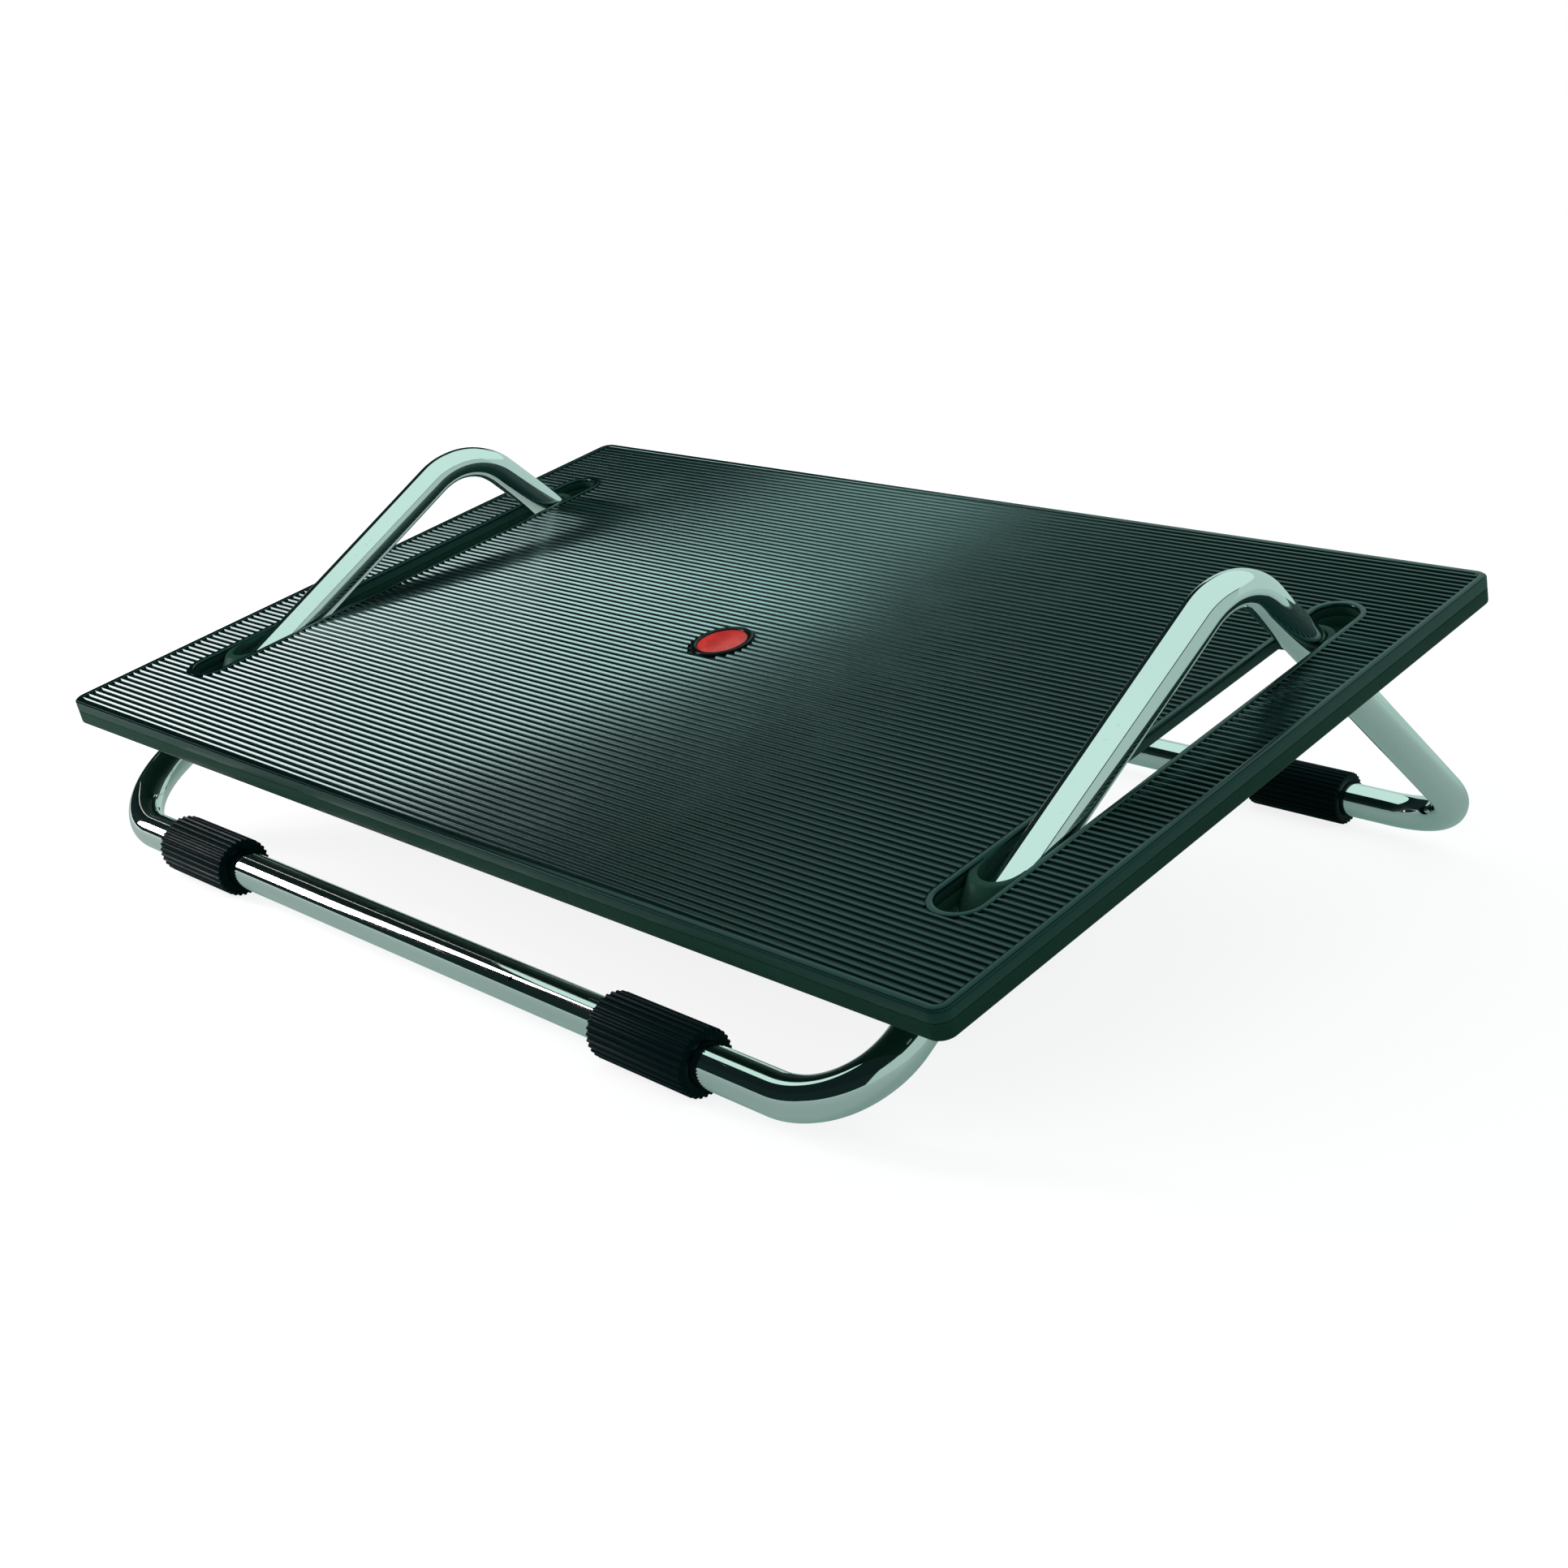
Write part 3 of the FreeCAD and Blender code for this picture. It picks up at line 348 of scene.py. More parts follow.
def badge_dome():
    """Shallow dome: the height falls off with the square of the distance from the middle."""
    share = np.linspace(0, 0.965, 14)[::-1]
    crown = [(INLAY_RADIUS * s, 10.86 - 0.42 * s * s) for s in share]
    profile = [(9.86, 9.4), (9.86, 10.2), (9.8, 10.36), (9.68, 10.44)] + crown[:-1]
    return [grid(turned(profile), close_columns=True),
            disc(turned(profile[:1])[0]), disc(turned(profile[-1:])[0])]


# Tube frame

def tube_line(side, joint_x):
    """Centre line of half the frame: straight runs joined by arcs that touch both runs at a corner.

    Gives the points, the directions, the way into the bend, and how far into a bend each point lies.
    """
    x = side * SIDE_X
    low, high = SLEEVE_RADIUS, SLEEVE_RADIUS + LEG_RISE
    corners = [Vector(p) for p in ((joint_x, -LEG_RUN, low), (x, -LEG_RUN, low), (x, 0, high),
                                   (x, LEG_RUN, low), (joint_x, LEG_RUN, low))]
    points, headings, inward, depth = [], [], [], []

    def straight(a, b):
        heading = np.array((b - a).normalized())
        steps = max(3, int((b - a).length / 12.0))
        s = np.linspace(0, 1, steps)[:, None]
        points.append(np.array(a) * (1 - s) + np.array(b) * s)
        headings.append(np.broadcast_to(heading, (steps, 3)))
        inward.append(np.zeros((steps, 3)))
        depth.append(np.zeros(steps))

    last = corners[0]
    for k, radius in enumerate((FRONT_BEND, APEX_BEND, REAR_BEND), start=1):
        into = (corners[k] - corners[k - 1]).normalized()
        out = (corners[k + 1] - corners[k]).normalized()
        turn = into.angle(out)
        reach = radius * math.tan(turn / 2)
        start = corners[k] - into * reach
        straight(last, start)
        axis_in = (out - into * into.dot(out)).normalized()
        centre = start + axis_in * radius
        a = np.linspace(0, turn, int(math.degrees(turn) / 2.0) + 2)[1:-1, None]
        i, j, c = np.array(into), np.array(axis_in), np.array(centre)
        points.append(c + radius * (np.sin(a) * i - np.cos(a) * j))
        headings.append(np.cos(a) * i + np.sin(a) * j)
        inward.append(np.cos(a) * j - np.sin(a) * i)
        share = a[:, 0] / turn
        depth.append(np.clip(np.minimum(share, 1 - share) / BEND_EASE, 0, 1) ** 2)
        last = corners[k] + out * reach
    straight(last, corners[-1])
    return np.vstack(points), np.vstack(headings), np.vstack(inward), np.concatenate(depth)


def tube_half(side, joint_x, steps=72):
    """Ring carried along the centre line without twist, once for the outside and once for the bore.

    Inside a bend the ring is a little flatter towards the bend's middle and a little wider across it.
    """
    centre, heading, inward, depth = tube_line(side, joint_x)
    across = np.zeros_like(centre)
    across[0] = (0, 0, 1)
    for k in range(1, len(centre)):
        v = across[k - 1] - heading[k] * (across[k - 1] @ heading[k])
        across[k] = v / np.linalg.norm(v)
    beside = np.cross(heading, across)
    angle = np.linspace(0, 2 * math.pi, steps, endpoint=False)[None, :, None]
    rings = []
    for radius in (TUBE_RADIUS, TUBE_RADIUS - TUBE_WALL):
        rim = radius * (np.cos(angle) * across[:, None] + np.sin(angle) * beside[:, None])
        squash = (rim * inward[:, None]).sum(-1, keepdims=True) * inward[:, None]
        rim = rim * (1 + BEND_WIDER * depth[:, None, None]) - squash * BEND_FLATTER * depth[:, None, None]
        rings.append((centre[:, None] + rim) * MM)
    ends = [np.stack([rings[0][end], rings[1][end]]) for end in (0, -1)]
    return [grid(surface, close_columns=True) for surface in rings + ends]


def sleeve(hand, side_y):
    """Fluted sleeve: the radius dips by a half-round groove once in every flute.

    Towards both ends the radius shrinks along a rounded profile, and the bore closes the ring inside.
    """
    steps = FLUTES * FLUTE_STEPS
    turn = np.arange(steps) * 2 * math.pi / steps
    flute_width = 2 * math.pi * SLEEVE_RADIUS / FLUTES
    place = ((np.arange(steps) / FLUTE_STEPS) % 1.0 - 0.5) * flute_width
    groove = FLUTE_DEPTH * np.sqrt(np.clip(1 - (place / FLUTE_HALF_WIDTH) ** 2, 0, 1))
    half = SLEEVE_LENGTH / 2
    into = np.array([0.0, 0.1, 0.35, 0.75])
    shrink = np.array([0.6, 0.3, 0.07, 0.0])
    along = np.concatenate([into - half, half - into[::-1]])
    shrink = np.concatenate([shrink, shrink[::-1]])
    skin_radius = np.maximum((SLEEVE_RADIUS - groove)[None] - shrink[:, None], 9.6)
    bore_along = np.array([half, half - 0.3, 0.3 - half, -half])
    bore_radius = np.array([7.5, 7.08, 7.08, 7.5])[:, None] + 0 * skin_radius[:4]
    x = SLEEVE_X[hand] + np.concatenate([along, bore_along])[:, None]
    r = np.vstack([skin_radius, bore_radius])
    y = side_y * LEG_RUN + r * np.sin(turn)
    z = SLEEVE_RADIUS - r * np.cos(turn)
    return [grid(np.stack([x + 0 * r, y, z], -1) * MM, close_rows=True, close_columns=True)]


# Shader helpers

class Nodes:
    """Short names for adding and joining nodes in one tree."""

    def __init__(self, tree):
        self.tree = tree

    def add(self, kind, settings=None, **inputs):
        node = self.tree.nodes.new(kind)
        for key, value in (settings or {}).items():
            setattr(node, key, value)
        for key, value in inputs.items():
            self.put(node, key.replace("_", " "), value)
        return node

    def put(self, node, name, value):
        """Join a socket to an input, or set the input to a plain value."""
        target = node.inputs[name]
        if isinstance(value, bpy.types.NodeSocket):
            self.tree.links.new(value, target)
        else:
            target.default_value = value

    def maths(self, operation, a, b):
        node = self.add("ShaderNodeMath", {"operation": operation})
        self.put(node, 0, a)
        self.put(node, 1, b)
        return node.outputs[0]

    def ramp(self, value, low, high, to_low=0.0, to_high=1.0):
        """Smooth step of a value from one range to another."""
        node = self.add("ShaderNodeMapRange", {"interpolation_type": "SMOOTHSTEP"})
        names = ("Value", "From Min", "From Max", "To Min", "To Max")
        for name, given in zip(names, (value, low, high, to_low, to_high)):
            self.put(node, name, given)
        return node.outputs["Result"]

    def mix(self, factor, a, b):
        node = self.add("ShaderNodeMix", {"data_type": "RGBA"})
        self.put(node, 0, factor)
        self.put(node, 6, a)
        self.put(node, 7, b)
        return node.outputs[2]

    def noise(self, vector, scale, detail, roughness):
        inputs = {"Vector": vector, "Scale": scale, "Detail": detail, "Roughness": roughness}
        return self.add("ShaderNodeTexNoise", **inputs).outputs["Fac"]

    def mapped(self, vector, scale):
        return self.add("ShaderNodeMapping", Vector=vector, Scale=scale).outputs["Vector"]

    def vector_maths(self, operation, a, b=(0.0, 0.0, 0.0)):
        node = self.add("ShaderNodeVectorMath", {"operation": operation})
        self.put(node, 0, a)
        self.put(node, 1, b)
        return node.outputs["Value"]


def new_group(name, inputs, outputs):
    """Empty node group with named sockets; returns its helper, inputs and output node."""
    tree = bpy.data.node_groups.new(name, "ShaderNodeTree")
    for label, kind, value in inputs:
        socket = tree.interface.new_socket(name=label, in_out="INPUT", socket_type=kind)
        if value is not None:
            socket.default_value = value
    for label in outputs:
        tree.interface.new_socket(name=label, in_out="OUTPUT", socket_type="NodeSocketFloat")
    n = Nodes(tree)
    return n, n.add("NodeGroupInput").outputs, n.add("NodeGroupOutput")


def moulded_grain_group():
    """Fine spark-eroded mould texture with slow unevenness: a height and a mask of the high spots."""
    inputs = [("Vector", "NodeSocketVector", None), ("Grain Size", "NodeSocketFloat", 0.35)]
    n, given, out = new_group("moulded grain", inputs, ["Height", "High Spots", "Patches"])
    scale = n.maths("DIVIDE", 1000.0, given["Grain Size"])
    fine = n.noise(given["Vector"], scale, 2.0, 0.6)
    slow = n.noise(given["Vector"], 14.0, 3.0, 0.5)
    n.put(out, "Height", n.maths("ADD", fine, n.maths("MULTIPLY", slow, 0.4)))
    n.put(out, "High Spots", n.ramp(fine, 0.52, 0.68))
    n.put(out, "Patches", n.ramp(slow, 0.35, 0.68))
    return n.tree


def handling_group():
    """Light use: specks of dust, soft smears and short fine scratches."""
    inputs = [("Vector", "NodeSocketVector", None), ("Dust", "NodeSocketFloat", 0.3),
              ("Scratches", "NodeSocketFloat", 0.3)]
    n, given, out = new_group("handling marks", inputs, ["Dust Mask", "Smears", "Scratch Mask"])
    place = given["Vector"]
    specks = n.ramp(n.noise(place, 900.0, 1.0, 0.4), 0.69, 0.76)
    patches = n.ramp(n.noise(place, 22.0, 4.0, 0.6), 0.4, 0.75)
    n.put(out, "Dust Mask", n.maths("MULTIPLY", n.maths("MULTIPLY", specks, patches), given["Dust"]))
    n.put(out, "Smears", n.ramp(n.noise(place, 35.0, 5.0, 0.65), 0.42, 0.72))
    thin = n.noise(n.mapped(place, (90.0, 1400.0, 1400.0)), 1.0, 2.0, 0.5)
    cross = n.noise(n.mapped(place, (1300.0, 110.0, 1300.0)), 1.0, 2.0, 0.5)
    lines = n.maths("MAXIMUM", n.ramp(thin, 0.69, 0.73), n.ramp(cross, 0.7, 0.74))
    n.put(out, "Scratch Mask", n.maths("MULTIPLY", lines, given["Scratches"]))
    return n.tree


GRAIN = moulded_grain_group()
MARKS = handling_group()


def new_material(name, **constants):
    """Material with a Principled shader whose plain values are set on its own sockets."""
    material = bpy.data.materials.new(name)
    material.use_nodes = True
    n = Nodes(material.node_tree)
    shader = material.node_tree.nodes["Principled BSDF"]
    for key, value in constants.items():
        n.put(shader, key.replace("_", " "), value)
    place = n.add("ShaderNodeTexCoord").outputs["Object"]
    return material, n, shader, place


def use_group(n, tree, **inputs):
    """Shared node group in a material, with its inputs set or joined; returns its outputs."""
    return n.add("ShaderNodeGroup", {"node_tree": tree}, **inputs).outputs


def bump(n, shader, height, distance, strength):
    node = n.add("ShaderNodeBump", Height=height, Distance=distance, Strength=strength)
    n.put(shader, "Normal", node.outputs["Normal"])


def plate_level(n, place):
    """Height above the plate's underside in mm, measured along the tilted plate's own upward direction."""
    upward = (0.0, -math.sin(TILT) / MM, math.cos(TILT) / MM)
    base = -PLATE_MIDDLE[1] * math.sin(TILT) + PLATE_MIDDLE[2] * math.cos(TILT)
    return n.maths("SUBTRACT", n.vector_maths("DOT_PRODUCT", place, upward), base)


# Materials

PLASTIC_DUST, PLASTIC_SCRATCH = (0.34, 0.36, 0.35, 1.0), (0.16, 0.2, 0.19, 1.0)
# The second colour on the next line is painted shade, for the rib grooves that lie in shade between the
# ribs.
SKIRT_GREEN, GROOVE_PAINTED_SHADE = (0.0115, 0.044, 0.03, 1.0), (0.0006, 0.0025, 0.0022, 1.0)
CHROME_DARK, CHROME_LIGHT = (0.76, 0.78, 0.775, 1.0), (0.80, 0.82, 0.81, 1.0)
# Painted shade for the dark inside of the vent hole, which is not cut into the tube.
VENT_PAINTED_SHADE = (0.01, 0.012, 0.012, 1.0)


def green_plastic(name, deep, bright, rough, grain_depth, level, ribbed=False):
    """Dark green moulded plastic with mould texture, faint smears and a trace of dust.

    On the ribbed tread the grooves are duller and carry painted shade that darkens them, and the skirt
    below the rim is paler and dull.
    """
    material, n, shader, place = new_material(name, IOR=1.5, Specular_IOR_Level=level,
                                              Specular_Tint=(0.3, 1.0, 0.95, 1.0))
    grain = use_group(n, GRAIN, Vector=place, Grain_Size=0.55)
    marks = use_group(n, MARKS, Vector=place, Dust=0.04, Scratches=0.2)
    tone = n.mix(grain["Patches"], deep, bright)
    high_spots = n.maths("MULTIPLY", grain["High Spots"], 0.35)
    tone = n.mix(high_spots, tone, [c * 1.5 for c in bright[:3]] + [1.0])
    finish = n.maths("ADD", rough, n.maths("MULTIPLY", marks["Smears"], 0.04))
    if ribbed:
        height = plate_level(n, place)
        # Mask of the grooves between the ribs, used for painted shade and for a duller finish.
        groove = n.maths("MULTIPLY", n.ramp(height, 9.72, 10.0, 1.0, 0.0), n.ramp(height, 9.5, 9.6))
        skirt = n.ramp(height, 9.0, 9.5, 1.0, 0.0)
        tone = n.mix(n.maths("MULTIPLY", skirt, 0.9), tone, SKIRT_GREEN)
        # Painted shade: the grooves between the ribs are drawn darker, as they lie in shade.
        tone = n.mix(n.maths("MULTIPLY", groove, 0.8), tone, GROOVE_PAINTED_SHADE)
        finish = n.maths("ADD", finish, n.maths("MULTIPLY", groove, 0.2))
        finish = n.maths("ADD", finish, n.maths("MULTIPLY", skirt, 0.32))
    tone = n.mix(marks["Dust Mask"], tone, PLASTIC_DUST)
    tone = n.mix(n.maths("MULTIPLY", marks["Scratch Mask"], 0.4), tone, PLASTIC_SCRATCH)
    n.put(shader, "Base Color", tone)
    n.put(shader, "Roughness", finish)
    bump(n, shader, grain["Height"], grain_depth, 0.6)
    return material


def chrome():
    """Bright plating: almost mirror smooth, slow waves from the tube below, fine scratches and smears.

    A small round spot of painted shade stands in for the dark inside of the vent hole.
    """
    material, n, shader, place = new_material("chrome plating", Metallic=1.0)
    marks = use_group(n, MARKS, Vector=place, Dust=0.5, Scratches=0.5)
    slow = n.noise(place, 9.0, 2.0, 0.4)
    wave = n.noise(place, 60.0, 2.0, 0.4)
    tone = n.mix(n.ramp(slow, 0.3, 0.7), CHROME_DARK, CHROME_LIGHT)
    tone = n.mix(marks["Dust Mask"], tone, (0.5, 0.5, 0.48, 1.0))
    # Painted shade: a dark spot where the vent hole is, whose inside would lie in shade.
    away = n.vector_maths("DISTANCE", place, tuple(v * MM for v in VENT))
    tone = n.mix(n.ramp(away, 0.0007, 0.0009, 1.0, 0.0), tone, VENT_PAINTED_SHADE)
    n.put(shader, "Base Color", tone)
    rough = n.maths("ADD", 0.03, n.maths("MULTIPLY", marks["Smears"], 0.035))
    rough = n.maths("ADD", rough, n.maths("MULTIPLY", marks["Scratch Mask"], 0.12))
    n.put(shader, "Roughness", rough)
    bump(n, shader, wave, 0.00006, 0.5)
    return material


def sleeve_plastic():
    """Black sleeve with a dry satin skin, slow patches, paler high spots in the grain, a trace of dust."""
    material, n, shader, place = new_material("black sleeve", IOR=1.5, Specular_IOR_Level=0.05,
                                              Specular_Tint=(0.35, 1.0, 1.0, 1.0))
    grain = use_group(n, GRAIN, Vector=place, Grain_Size=0.3)
    marks = use_group(n, MARKS, Vector=place, Dust=0.06, Scratches=0.12)
    tone = n.mix(grain["Patches"], (0.0008, 0.007, 0.0085, 1.0), (0.0014, 0.010, 0.0115, 1.0))
    tone = n.mix(n.maths("MULTIPLY", grain["High Spots"], 0.3), tone, (0.003, 0.017, 0.018, 1.0))
    tone = n.mix(marks["Dust Mask"], tone, (0.2, 0.22, 0.21, 1.0))
    n.put(shader, "Base Color", tone)
    n.put(shader, "Roughness", n.maths("ADD", 0.3, n.maths("MULTIPLY", marks["Smears"], 0.12)))
    bump(n, shader, grain["Height"], 0.00005, 0.7)
    return material


def gloss_plastic(name, deep, bright, rough, level):
    """Smooth moulded plastic, with a slow change of tone and fine wipe marks."""
    material, n, shader, place = new_material(name, IOR=1.5, Specular_IOR_Level=level)
    marks = use_group(n, MARKS, Vector=place, Dust=0.6, Scratches=0.6)
    slow = n.noise(place, 160.0, 3.0, 0.5)
    tone = n.mix(n.ramp(slow, 0.35, 0.65), deep, bright)
    tone = n.mix(marks["Dust Mask"], tone, (0.5, 0.45, 0.43, 1.0))
    n.put(shader, "Base Color", tone)
    n.put(shader, "Roughness", n.maths("ADD", rough, n.maths("MULTIPLY", marks["Smears"], 0.1)))
    bump(n, shader, slow, 0.00004, 0.5)
    return material


def plain_steel(name, dark, light, rough, stretch):
    """Drawn or zinc-plated steel: fine lines stretched along the piece, dull smears."""
    material, n, shader, place = new_material(name, Metallic=1.0)
    marks = use_group(n, MARKS, Vector=place, Dust=0.6, Scratches=1.0)
    lines = n.noise(n.mapped(place, stretch), 1.0, 4.0, 0.6)
    n.put(shader, "Base Color", n.mix(lines, dark, light))
    finish = n.maths("ADD", rough, n.maths("MULTIPLY", lines, 0.2))
    n.put(shader, "Roughness", n.maths("ADD", finish, n.maths("MULTIPLY", marks["Smears"], 0.1)))
    bump(n, shader, lines, 0.00004, 0.6)
    return material


TREAD_GREEN = green_plastic("tread plastic", deep=(0.0008, 0.0075, 0.006, 1.0),
                            bright=(0.0014, 0.011, 0.009, 1.0), rough=0.14, grain_depth=0.00001,
                            level=0.42, ribbed=True)
TRAY_GREEN = green_plastic("tray plastic", deep=(0.0135, 0.056, 0.037, 1.0),
                           bright=(0.0175, 0.066, 0.045, 1.0), rough=0.4, grain_depth=0.00005, level=0.05)
CHROME = chrome()
SLEEVE_BLACK = sleeve_plastic()
BADGE_BLACK = gloss_plastic("badge black", deep=(0.0025, 0.005, 0.005, 1.0),
                            bright=(0.004, 0.008, 0.008, 1.0), rough=0.12, level=0.15)
BADGE_RED = gloss_plastic("badge red", deep=(0.62, 0.026, 0.024, 1.0), bright=(0.8, 0.045, 0.04, 1.0),
                          rough=0.2, level=0.4)
BARE_STEEL = plain_steel("bare tube steel", dark=(0.32, 0.32, 0.33, 1.0), light=(0.55, 0.55, 0.56, 1.0),
                         rough=0.3, stretch=(60.0, 1500.0, 1500.0))
SCREW_STEEL = plain_steel("zinc-plated steel", dark=(0.42, 0.44, 0.46, 1.0), light=(0.62, 0.63, 0.62, 1.0),
                          rough=0.25, stretch=(900.0, 900.0, 900.0))


# Pieces

def build_pieces():
    """Every new piece, on the body that it moves with and in place of its solid."""
    saddles = [part for side in (-1, 1) for end in (-1, 1) for part in saddle(side, end)]
    piece("tread", placed(tread_skin() + [ribs()]), TREAD_GREEN, "deck", "tread_plate")
    piece("tray", placed(tray_skin() + saddles), TRAY_GREEN, "deck", "base_tray")
    piece("badge_cup", placed(badge_ring()), BADGE_BLACK, "deck", "badge_bezel", sharp=50)
    piece("badge_face", placed(badge_dome()), BADGE_RED, "deck", "badge_inlay", sharp=50)
    for side, hand in ((-1, "left"), (1, "right")):
        tube = tube_half(side, SLEEVE_X["left"])
        piece("tube_" + hand, tube, CHROME, "frame", "frame_" + hand)
    for hand in SLEEVE_X:
        for end, side_y in (("front", -1), ("rear", 1)):
            piece("grip_%s_%s" % (end, hand), sleeve(hand, side_y), SLEEVE_BLACK, "frame",
                  "sleeve_%s_%s" % (end, hand), sharp=50)


def finish_kept_nodes():
    """Better materials on the solids that keep their shape."""
    for name, material in (("front_spigot", BARE_STEEL), ("rear_spigot", BARE_STEEL),
                           ("deck_screws", SCREW_STEEL)):
        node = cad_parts[name]
        node.data.materials.clear()
        node.data.materials.append(material)


# Floor, light and camera

FLOOR_GLOW, FLOOR_GLOW_FAR, FLOOR_GLOW_REACH = 0.84, 0.94, (0.4, 1.5)
# Mirror rays see the floor glow less near the object: painted shade, as if the object's shadow lay there.
FLOOR_MIRRORED, FLOOR_MIRRORED_FAR, FLOOR_MIRRORED_REACH = 0.24, 0.42, (0.22, 0.9)
WHITE, FLOOR_TINT = (1.0, 1.0, 1.0, 1.0), (0.55, 1.0, 0.87, 1.0)
MINT, DIM, LAMP_PINK = (0.70, 1.0, 0.915, 1.0), (0.4, 1.0, 0.95, 1.0), (1.0, 0.8, 0.81)

# Name, middle, point that it faces, width, height, colour and strength
CARDS = (
    ("bank", (0.26, 0.75, 1.2), (0.26, 0.75, 0.0), 3.12, 2.69, MINT, 0.95),
    ("roof", (0.0, 0.0, 1.3), (0.0, 0.0, 0.0), 4.4, 4.4, DIM, 0.015),
    ("wall_left", (-2.2, 0.0, 0.65), (0.0, 0.0, 0.65), 4.4, 1.3, DIM, 0.02),
    ("wall_front", (0.0, -2.2, 0.65), (0.0, 0.0, 0.65), 4.4, 1.3, DIM, 0.02),
    ("wall_rear", (0.0, 2.2, 0.65), (0.0, 0.0, 0.65), 4.4, 1.3, MINT, 0.7),
    ("wall_right", (2.2, 0.0, 0.65), (0.0, 0.0, 0.65), 4.4, 1.3, MINT, 0.6),
)

# Name, middle, point that it shines at, width, height and power
LAMPS = (
    ("key", (-0.905, -0.578, 0.35), (-0.905, 0.5, 0.24), 0.55, 0.36, 11.0),
    ("high key", (-0.84, -0.578, 0.66), (-0.84, 0.5, 0.4), 0.28, 0.25, 1.8),
)

PHOTO_SIZE, FOCAL_PIXELS, CENTRE_PIXEL = 1932, 2663.84, (1058.41, 823.01)
CAMERA_PLACE = (0.59295, -0.57815, 0.28094)
CAMERA_TURN, CAMERA_DIP, CAMERA_ROLL = 43.81, 13.988, -0.293
SENSOR = 36.0


def facing(middle, heading):
    """Place and turn of an object whose own Z points along the heading."""
    turn = heading.normalized().to_track_quat("Z", "Y")
    return Matrix.Translation(middle) @ turn.to_matrix().to_4x4()


def flat_card(name, middle, aim, width, height, material):
    """Flat rectangle facing a point."""
    mesh = bpy.data.meshes.new(name)
    w, h = width / 2, height / 2
    mesh.from_pydata([(-w, -h, 0), (w, -h, 0), (w, h, 0), (-w, h, 0)], [], [(0, 1, 2, 3)])
    mesh.materials.append(material)
    obj = bpy.data.objects.new(name, mesh)
    obj.matrix_world = facing(middle, Vector(aim) - Vector(middle))
    bpy.context.collection.objects.link(obj)
    return obj


def blank_material(name):
    """Material without a shader; returns it, its node helper and its output node."""
    material = bpy.data.materials.new(name)
    material.use_nodes = True
    nodes = material.node_tree.nodes
    nodes.remove(nodes["Principled BSDF"])
    return material, Nodes(material.node_tree), nodes["Material Output"]


def floor_material():
    """Pale floor: the camera sees it white with a faint shadow, mirror rays see it greyer, with painted
    shade that darkens it near the object.
    """
    material, n, out = blank_material("pale floor")
    diffuse = n.add("ShaderNodeBsdfDiffuse", Color=(0.33, 0.36, 0.36, 1.0))
    path = n.add("ShaderNodeLightPath").outputs
    seen = n.maths("MAXIMUM", path["Is Camera Ray"], path["Is Transmission Ray"])
    away = n.vector_maths("LENGTH", n.add("ShaderNodeTexCoord").outputs["Object"])
    level = n.ramp(away, *FLOOR_GLOW_REACH, FLOOR_GLOW, FLOOR_GLOW_FAR)
    # Painted shade: the glow that mirror rays see is lower near the object.
    mirrored_shaded_near = n.ramp(away, *FLOOR_MIRRORED_REACH, FLOOR_MIRRORED, FLOOR_MIRRORED_FAR)
    direct = n.maths("MULTIPLY", seen, level)
    glow = n.maths("ADD", direct, n.maths("MULTIPLY", path["Is Glossy Ray"], mirrored_shaded_near))
    tint = n.mix(path["Is Glossy Ray"], WHITE, FLOOR_TINT)
    emission = n.add("ShaderNodeEmission", Color=tint, Strength=glow)
    both = n.add("ShaderNodeAddShader")
    n.put(both, 0, diffuse.outputs[0])
    n.put(both, 1, emission.outputs[0])
    n.put(out, "Surface", both.outputs[0])
    return material


def card_material(name, colour, strength):
    """Even glow of one strength, for what the shiny surfaces mirror."""
    material, n, out = blank_material(name)
    n.put(out, "Surface", n.add("ShaderNodeEmission", Color=colour, Strength=strength).outputs[0])
    return material


def studio_world():
    """White surroundings, at half strength where they light the surfaces."""
    world = bpy.data.worlds.new("studio")
    bpy.context.scene.world = world
    world.use_nodes = True
    n = Nodes(world.node_tree)
    world.node_tree.nodes.remove(world.node_tree.nodes["Background"])
    bright = n.add("ShaderNodeBackground", Color=WHITE, Strength=1.0)
    soft = n.add("ShaderNodeBackground", Color=WHITE, Strength=0.5)
    path = n.add("ShaderNodeLightPath").outputs
    through = n.maths("MAXIMUM", path["Is Glossy Ray"], path["Is Transmission Ray"])
    seen = n.maths("MAXIMUM", path["Is Camera Ray"], through)
    mix = n.add("ShaderNodeMixShader")
    n.put(mix, 0, seen)
    n.put(mix, 1, soft.outputs[0])
    n.put(mix, 2, bright.outputs[0])
    n.put(world.node_tree.nodes["World Output"], "Surface", mix.outputs[0])


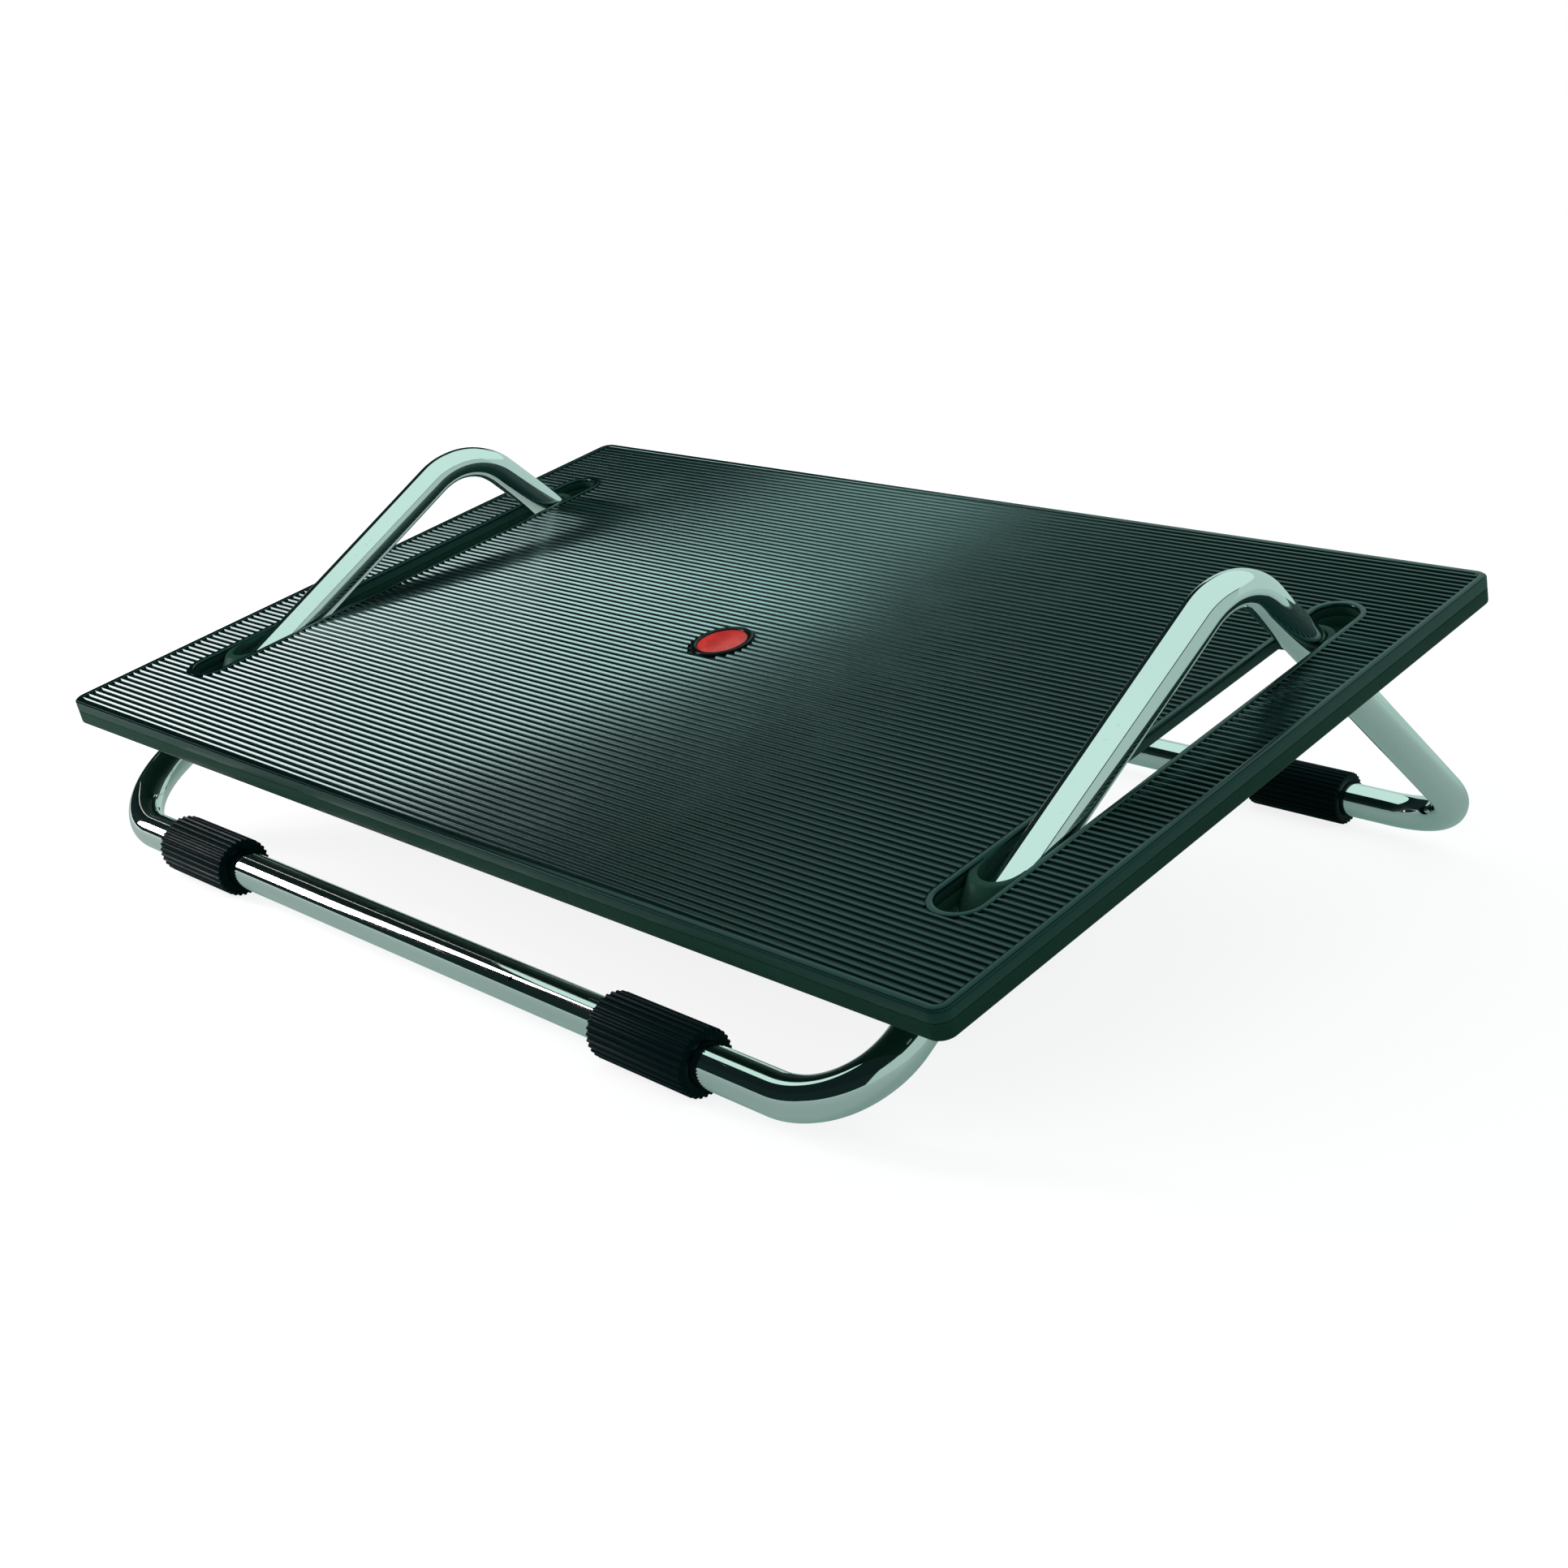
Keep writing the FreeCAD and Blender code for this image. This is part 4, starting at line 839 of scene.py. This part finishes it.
def soft_lamp(name, middle, aim, width, height, power):
    """Rectangular lamp that shines at a point and that the camera doesn't see."""
    lamp = bpy.data.lights.new(name, "AREA")
    lamp.shape = "RECTANGLE"
    lamp.size, lamp.size_y = width, height
    lamp.energy = power
    lamp.color = LAMP_PINK
    obj = bpy.data.objects.new(name, lamp)
    obj.matrix_world = facing(middle, Vector(middle) - Vector(aim))
    bpy.context.collection.objects.link(obj)
    obj.visible_camera = False


def mirror_card(name, middle, aim, width, height, colour, strength):
    """Card that only shows in shiny surfaces."""
    card = flat_card(name, middle, aim, width, height, card_material(name, colour, strength))
    card.visible_camera = False
    card.visible_diffuse = False
    card.visible_shadow = False


def photo_camera():
    """Camera at the photograph's place: direction from turn and dip, slight roll, shifted frame."""
    turn, dip, roll = (math.radians(angle) for angle in (CAMERA_TURN, CAMERA_DIP, CAMERA_ROLL))
    ahead = Vector((-math.sin(turn) * math.cos(dip), math.cos(turn) * math.cos(dip), -math.sin(dip)))
    level = Vector((math.cos(turn), math.sin(turn), 0.0))
    upright = level.cross(ahead)
    right = level * math.cos(roll) + upright * math.sin(roll)
    up = upright * math.cos(roll) - level * math.sin(roll)
    data = bpy.data.cameras.new("camera")
    data.sensor_width = SENSOR
    data.lens = FOCAL_PIXELS / PHOTO_SIZE * SENSOR
    data.shift_x = 0.5 - CENTRE_PIXEL[0] / PHOTO_SIZE
    data.shift_y = CENTRE_PIXEL[1] / PHOTO_SIZE - 0.5
    obj = bpy.data.objects.new("camera", data)
    turned_to = Matrix((right, up, -ahead)).transposed().to_4x4()
    obj.matrix_world = Matrix.Translation(CAMERA_PLACE) @ turned_to
    bpy.context.collection.objects.link(obj)
    bpy.context.scene.camera = obj


build_pieces()
finish_kept_nodes()
flat_card("floor", (0, 0, -0.0002), (0, 0, 1), 12, 12, floor_material())
studio_world()
for settings in LAMPS:
    soft_lamp(*settings)
for settings in CARDS:
    mirror_card(*settings)
photo_camera()
bpy.context.scene.view_settings.view_transform = "Standard"
